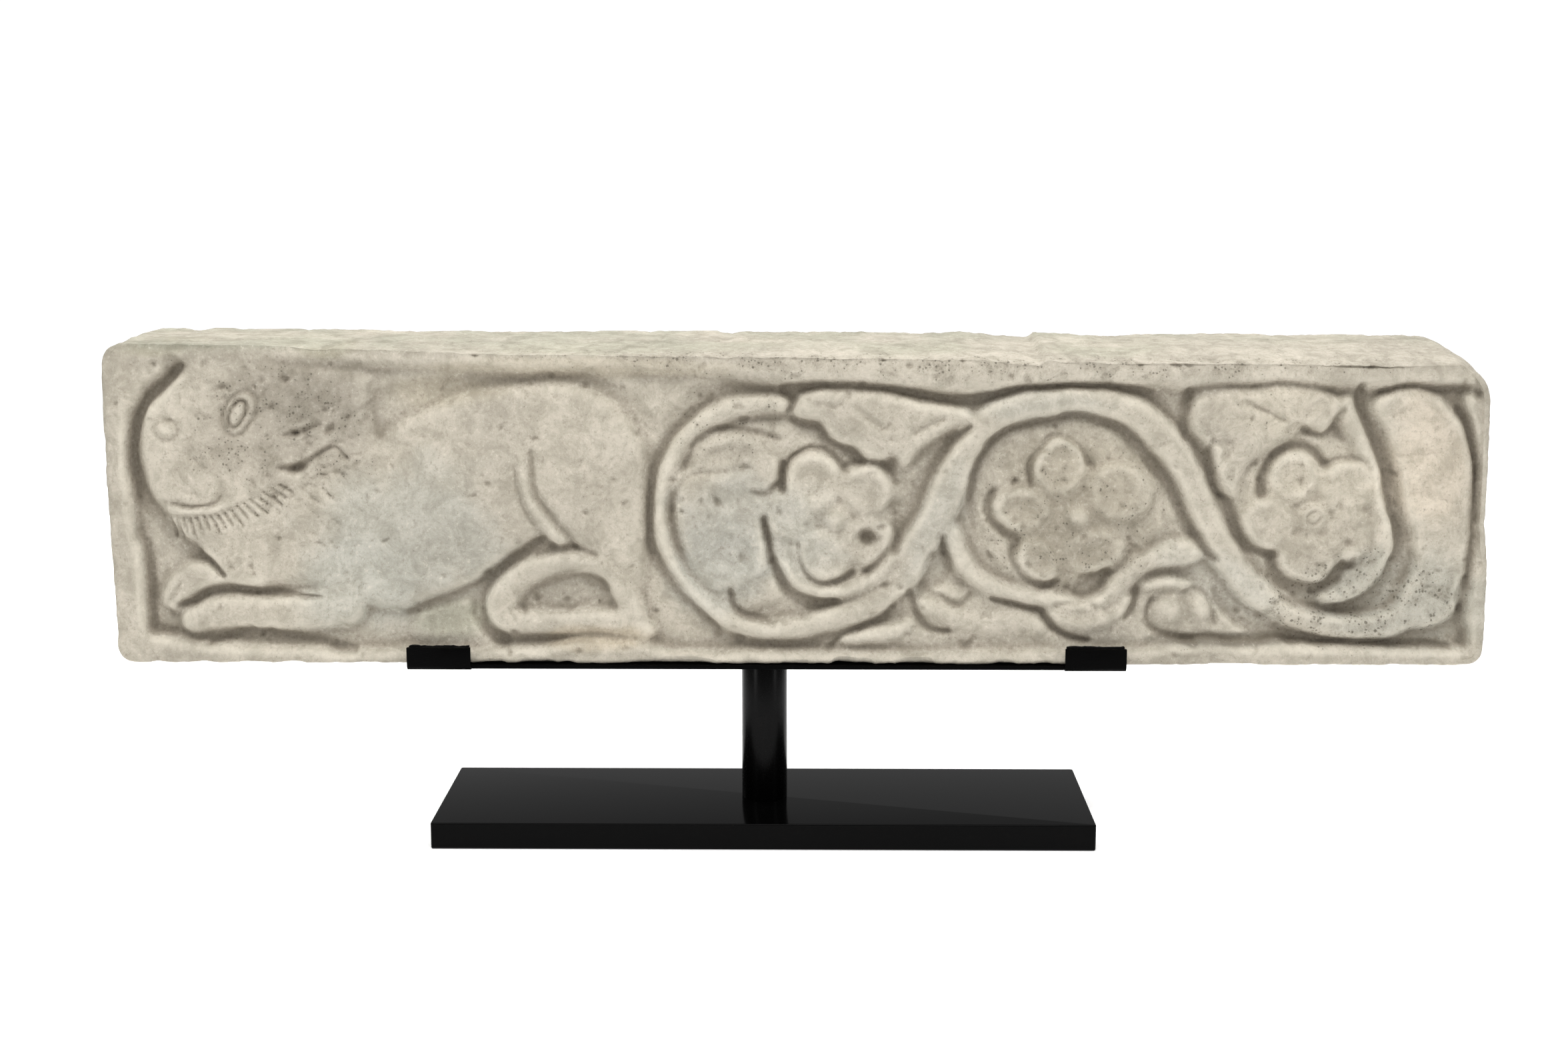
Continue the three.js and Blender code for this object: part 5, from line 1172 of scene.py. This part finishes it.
# each cell draws its own size, so only some of them show a speck
lot = add_node(tree, "ShaderNodeSeparateColor", inputs={"Color": cells.outputs["Color"]}).outputs["Red"]
dot_size = sum_of("MULTIPLY", speck_in, sum_of("MULTIPLY", lot, sum_of("MULTIPLY", lot, 0.62)))
dot_size = sum_of("MULTIPLY", dot_size, ranged(mottle, 0.60, 0.44, 0.0, 1.0))
dot = sum_of("SUBTRACT", dot_size, cells.outputs["Distance"])
dot = sum_of("MULTIPLY_ADD", sum_of("SUBTRACT", fine_grain, 0.5), 0.45, dot)
dot_share = ranged(dot, -0.08, 0.16, 0.0, 0.6)
colour = mixed(tree, dot_share, colour, linear("#4a4338"))
tree.links.new(colour, shader.inputs["Base Color"])
shader.inputs["Roughness"].default_value = 0.93
shader.inputs["Specular IOR Level"].default_value = 0.25
rough_height = sum_of("MULTIPLY_ADD", fine_grain, 0.45, grain)
rough_height = sum_of("SUBTRACT", rough_height, sum_of("MULTIPLY", dot_share, 0.6))
bump = add_node(
    tree, "ShaderNodeBump", inputs={"Height": rough_height, "Strength": 0.8, "Distance": 0.0009}
)
tree.links.new(bump.outputs["Normal"], shader.inputs["Normal"])
mesh.materials.clear()
mesh.materials.append(limestone)

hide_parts("stone_panel")
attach(stone, "root")

# %% [markdown]
# ## The base plate
#
# The foot is a thick flat bar, cut to length, its corners just eased, and sprayed gloss black. It is a
# cube stretched to the bar's size. Its four upright edges are bevelled first, and then the edges all round
# the top and the bottom, so the small round runs on through the corners.

# %% Plate
plate_low, plate_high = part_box("base_plate")
plate_size = (plate_high - plate_low) / MM
bpy.ops.object.select_all(action="DESELECT")
bpy.ops.mesh.primitive_cube_add(size=1, location=(plate_low + plate_high) / 2)
plate = named("plate", plate_high - plate_low)
choose_edges(plate, is_upright)
bpy.ops.mesh.bevel(offset=2 * MM, segments=6)
choose_edges(plate, is_level)
bpy.ops.mesh.bevel(offset=0.9 * MM, segments=4)
bpy.ops.object.mode_set(mode="OBJECT")
bpy.ops.object.shade_smooth_by_angle(angle=STEEL_EDGE)
print("plate, mm:", [round(v, 1) for v in plate_size], "faces:", len(plate.data.polygons))

# %% Gloss black lacquer
def gloss_black(name, rough, shine):
    """Sprayed and polished black enamel on steel: a dark coat, a clear gloss, a faint orange peel."""
    material, tree, shader = new_material(name)
    coords = add_node(tree, "ShaderNodeTexCoord").outputs["Object"]
    peel = noise(tree, coords, 2.5, 1.0)
    dust = noise(tree, coords, 0.9, 3.0)
    haze = add_node(
        tree,
        "ShaderNodeMapRange",
        inputs={"Value": dust, "From Min": 0.3, "From Max": 0.8, "To Min": rough, "To Max": rough + 0.05},
    )
    bump = add_node(tree, "ShaderNodeBump", inputs={"Height": peel, "Strength": 0.04, "Distance": 0.0001})
    tree.links.new(mixed(tree, peel, linear("#020202"), linear("#040404")), shader.inputs["Base Color"])
    tree.links.new(haze.outputs["Result"], shader.inputs["Roughness"])
    tree.links.new(bump.outputs["Normal"], shader.inputs["Normal"])
    shader.inputs["Specular IOR Level"].default_value = shine
    return material


plate.data.materials.append(gloss_black("gloss_black_lacquer", 0.09, 0.06))
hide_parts("base_plate")
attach(plate, "root")

# %% [markdown]
# ## The post
#
# The post is a round steel bar, turned and lacquered like the plate. A cylinder with enough sides that its
# gloss shows no flats has its two end rims bevelled, which leaves the fine dark line of a real joint.

# %% Post
post_low, post_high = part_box("post")
post_radius = (post_high.x - post_low.x) / 2
bpy.ops.object.select_all(action="DESELECT")
bpy.ops.mesh.primitive_cylinder_add(
    vertices=128, radius=post_radius, depth=post_high.z - post_low.z, location=(post_low + post_high) / 2
)
post = named("round_post")
choose_edges(post, is_level)
bpy.ops.mesh.bevel(offset=0.5 * MM, segments=2)
bpy.ops.object.mode_set(mode="OBJECT")
bpy.ops.object.shade_smooth_by_angle(angle=STEEL_EDGE)
post.data.materials.append(gloss_black("gloss_black_enamel", 0.24, 0.10))
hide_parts("post")
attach(post, "root")
print("post, mm: radius %.1f, height %.1f" % (post_radius / MM, (post_high.z - post_low.z) / MM))

# %% [markdown]
# ## The cradle
#
# A cradle like this starts as flat sheet with four ears, which are folded up in a press. It is made the same
# way here: a flat plane, cut across where each ear begins and ends, whose short edges are pushed out, round
# the bend and up. The sheet gets its thickness last, and then every raw edge is eased a little.

# %% Cradle
SHEET = 3
BEND = 5
# where the ears begin and end along the tray, how far out their outer side is, and how high they end
TAB_SPANS = [(-265.5, -218), (225, 270.5)]
TAB_REACH = 67
TAB_TOP = 153
cradle_low, cradle_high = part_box("cradle")
tray_low = cradle_low.z / MM
tray_middle = (cradle_low.x + cradle_high.x) / 2
bpy.ops.object.select_all(action="DESELECT")
bpy.ops.mesh.primitive_plane_add(size=1, location=(tray_middle, 0, cradle_low.z))
cradle = named("bent_cradle", (cradle_high.x - cradle_low.x, STONE_DEPTH * MM, 1))
bpy.ops.object.mode_set(mode="EDIT")
for span in TAB_SPANS:
    for cut in span:
        bpy.ops.mesh.select_all(action="SELECT")
        bpy.ops.mesh.bisect(plane_co=(cut * MM, 0, 0), plane_no=(1, 0, 0))

# the outer side of one ear, as steps out and up in millimetres
BEND_STEPS = 6
ear_steps = [(TAB_REACH - BEND - STONE_DEPTH / 2, 0)]
for k in range(BEND_STEPS):
    a, b = (math.radians(90 / BEND_STEPS * step) for step in (k, k + 1))
    ear_steps.append((BEND * (math.sin(b) - math.sin(a)), BEND * (math.cos(a) - math.cos(b))))
ear_steps.append((0, TAB_TOP - tray_low - BEND))

for side in (-1, 1):
    for start, end in TAB_SPANS:

        def ear_edge(p):
            inside = all(start - 0.01 < q.x < end + 0.01 for q in p)
            return inside and all(abs(q.y - STONE_DEPTH / 2 * side) < 0.01 for q in p)

        choose_edges(cradle, ear_edge)
        for out, up in ear_steps:
            step = (0, side * out * MM, up * MM)
            bpy.ops.mesh.extrude_edges_move(TRANSFORM_OT_translate={"value": step})
bpy.ops.mesh.select_all(action="SELECT")
bpy.ops.mesh.normals_make_consistent(inside=False)
bpy.ops.object.mode_set(mode="OBJECT")
middle_normal = min(cradle.data.polygons, key=lambda face: face.center.length).normal.z
finish_modifier(
    cradle, "SOLIDIFY", thickness=SHEET * MM, offset=-1.0 if middle_normal < 0 else 1.0, use_even_offset=True
)
finish_modifier(cradle, "BEVEL", width=0.45 * MM, segments=2, limit_method="ANGLE",
                angle_limit=math.radians(50))
only(cradle)
bpy.ops.object.shade_smooth_by_angle(angle=STEEL_EDGE)
print("cradle, m:", [round(v, 4) for v in cradle.dimensions], "faces:", len(cradle.data.polygons))

# %% Black powder coat
powder, tree, shader = new_material("black_powder_coat")
# baked powder paint on sheet steel: satin, with a fine even pimple
coords = add_node(tree, "ShaderNodeTexCoord").outputs["Object"]
pimple = noise(tree, coords, 0.8, 2.0)
rub = noise(tree, coords, 18, 4.0)
dull = add_node(
    tree,
    "ShaderNodeMapRange",
    inputs={"Value": rub, "From Min": 0.3, "From Max": 0.7, "To Min": 0.42, "To Max": 0.55},
)
bump = add_node(tree, "ShaderNodeBump", inputs={"Height": pimple, "Strength": 0.25, "Distance": 0.0001})
tree.links.new(mixed(tree, rub, linear("#020202"), linear("#050505")), shader.inputs["Base Color"])
tree.links.new(dull.outputs["Result"], shader.inputs["Roughness"])
tree.links.new(bump.outputs["Normal"], shader.inputs["Normal"])
shader.inputs["Specular IOR Level"].default_value = 0.03
cradle.data.materials.append(powder)
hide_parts("cradle")
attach(cradle, "root")

# %% [markdown]
# ## The felt pads
#
# Strips of black felt keep the steel off the stone. They were cut with scissors, so their upper edge
# wanders and has small tufts. One strip is a grid whose top row follows that wandering edge, made thick and
# then softened. Each of the four is made from its own place in the random pattern, so no two match.

# %% Pads
felt, tree, shader = new_material("black_wool_felt")
# pressed wool felt: no gloss, a fine tangle of fibres, a trace of dust
coords = add_node(tree, "ShaderNodeTexCoord").outputs["Object"]
fibres = noise(tree, coords, 0.5, 4.0, warp=1.5)
bump = add_node(tree, "ShaderNodeBump", inputs={"Height": fibres, "Strength": 0.6, "Distance": 0.0004})
tree.links.new(mixed(tree, fibres, linear("#020202"), linear("#0c0c0c")), shader.inputs["Base Color"])
tree.links.new(bump.outputs["Normal"], shader.inputs["Normal"])
shader.inputs["Roughness"].default_value = 1.0
shader.inputs["Specular IOR Level"].default_value = 0.1
shader.inputs["Sheen Weight"].default_value = 0.03


def felt_strip(node_name, seed):
    low, high = (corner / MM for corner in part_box(node_name))
    bpy.ops.object.select_all(action="DESELECT")
    bpy.ops.mesh.primitive_grid_add(
        x_subdivisions=60,
        y_subdivisions=18,
        size=1,
        location=((low + high) / 2) * MM,
        rotation=(math.radians(90), 0, 0),
    )
    strip = named(node_name + "_felt", ((high.x - low.x) * MM, (high.z - low.z) * MM, 1))
    finish_modifier(strip, "SOLIDIFY", thickness=(high.y - low.y - 0.3) * MM, offset=0.0)
    points = np.array([vertex.co / MM for vertex in strip.data.vertices])
    x, y, z = points.T
    share_up = (z - low.z) / (high.z - low.z)
    ragged = 0.5 + 0.6 * lumps(x, y * 0.3, z * 0, 6.5, seed) + 0.4 * lumps(x, y * 0.5, z * 0, 2.2, seed + 1)
    z = z - np.clip(ragged, 0, 1.4) * ease(share_up, 0.55, 1.0)
    fluff = 0.14 * lumps(x, y, z, 1.6, seed + 2)
    y = y - np.sign(y - (low.y + high.y) / 2) * (0.1 + np.abs(fluff))
    strip.data.vertices.foreach_set("co", (np.stack([x, y, z], 1) * MM).astype(np.float32).ravel())
    strip.data.update()
    finish_modifier(strip, "BEVEL", width=0.5 * MM, segments=2, limit_method="ANGLE",
                    angle_limit=math.radians(60))
    only(strip)
    bpy.ops.object.shade_smooth_by_angle(angle=SOFT_EDGE)
    strip.data.materials.append(felt)
    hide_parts(node_name)
    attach(strip, "root")
    return strip


for number, pad_name in enumerate(("front_pad_left", "front_pad_right", "rear_pad_left", "rear_pad_right")):
    strip = felt_strip(pad_name, 40 + 5 * number)
    print(strip.name, "mm:", [round(v / MM, 1) for v in strip.dimensions], "faces:", len(strip.data.polygons))

# %% The end
bpy.ops.object.select_all(action="DESELECT")
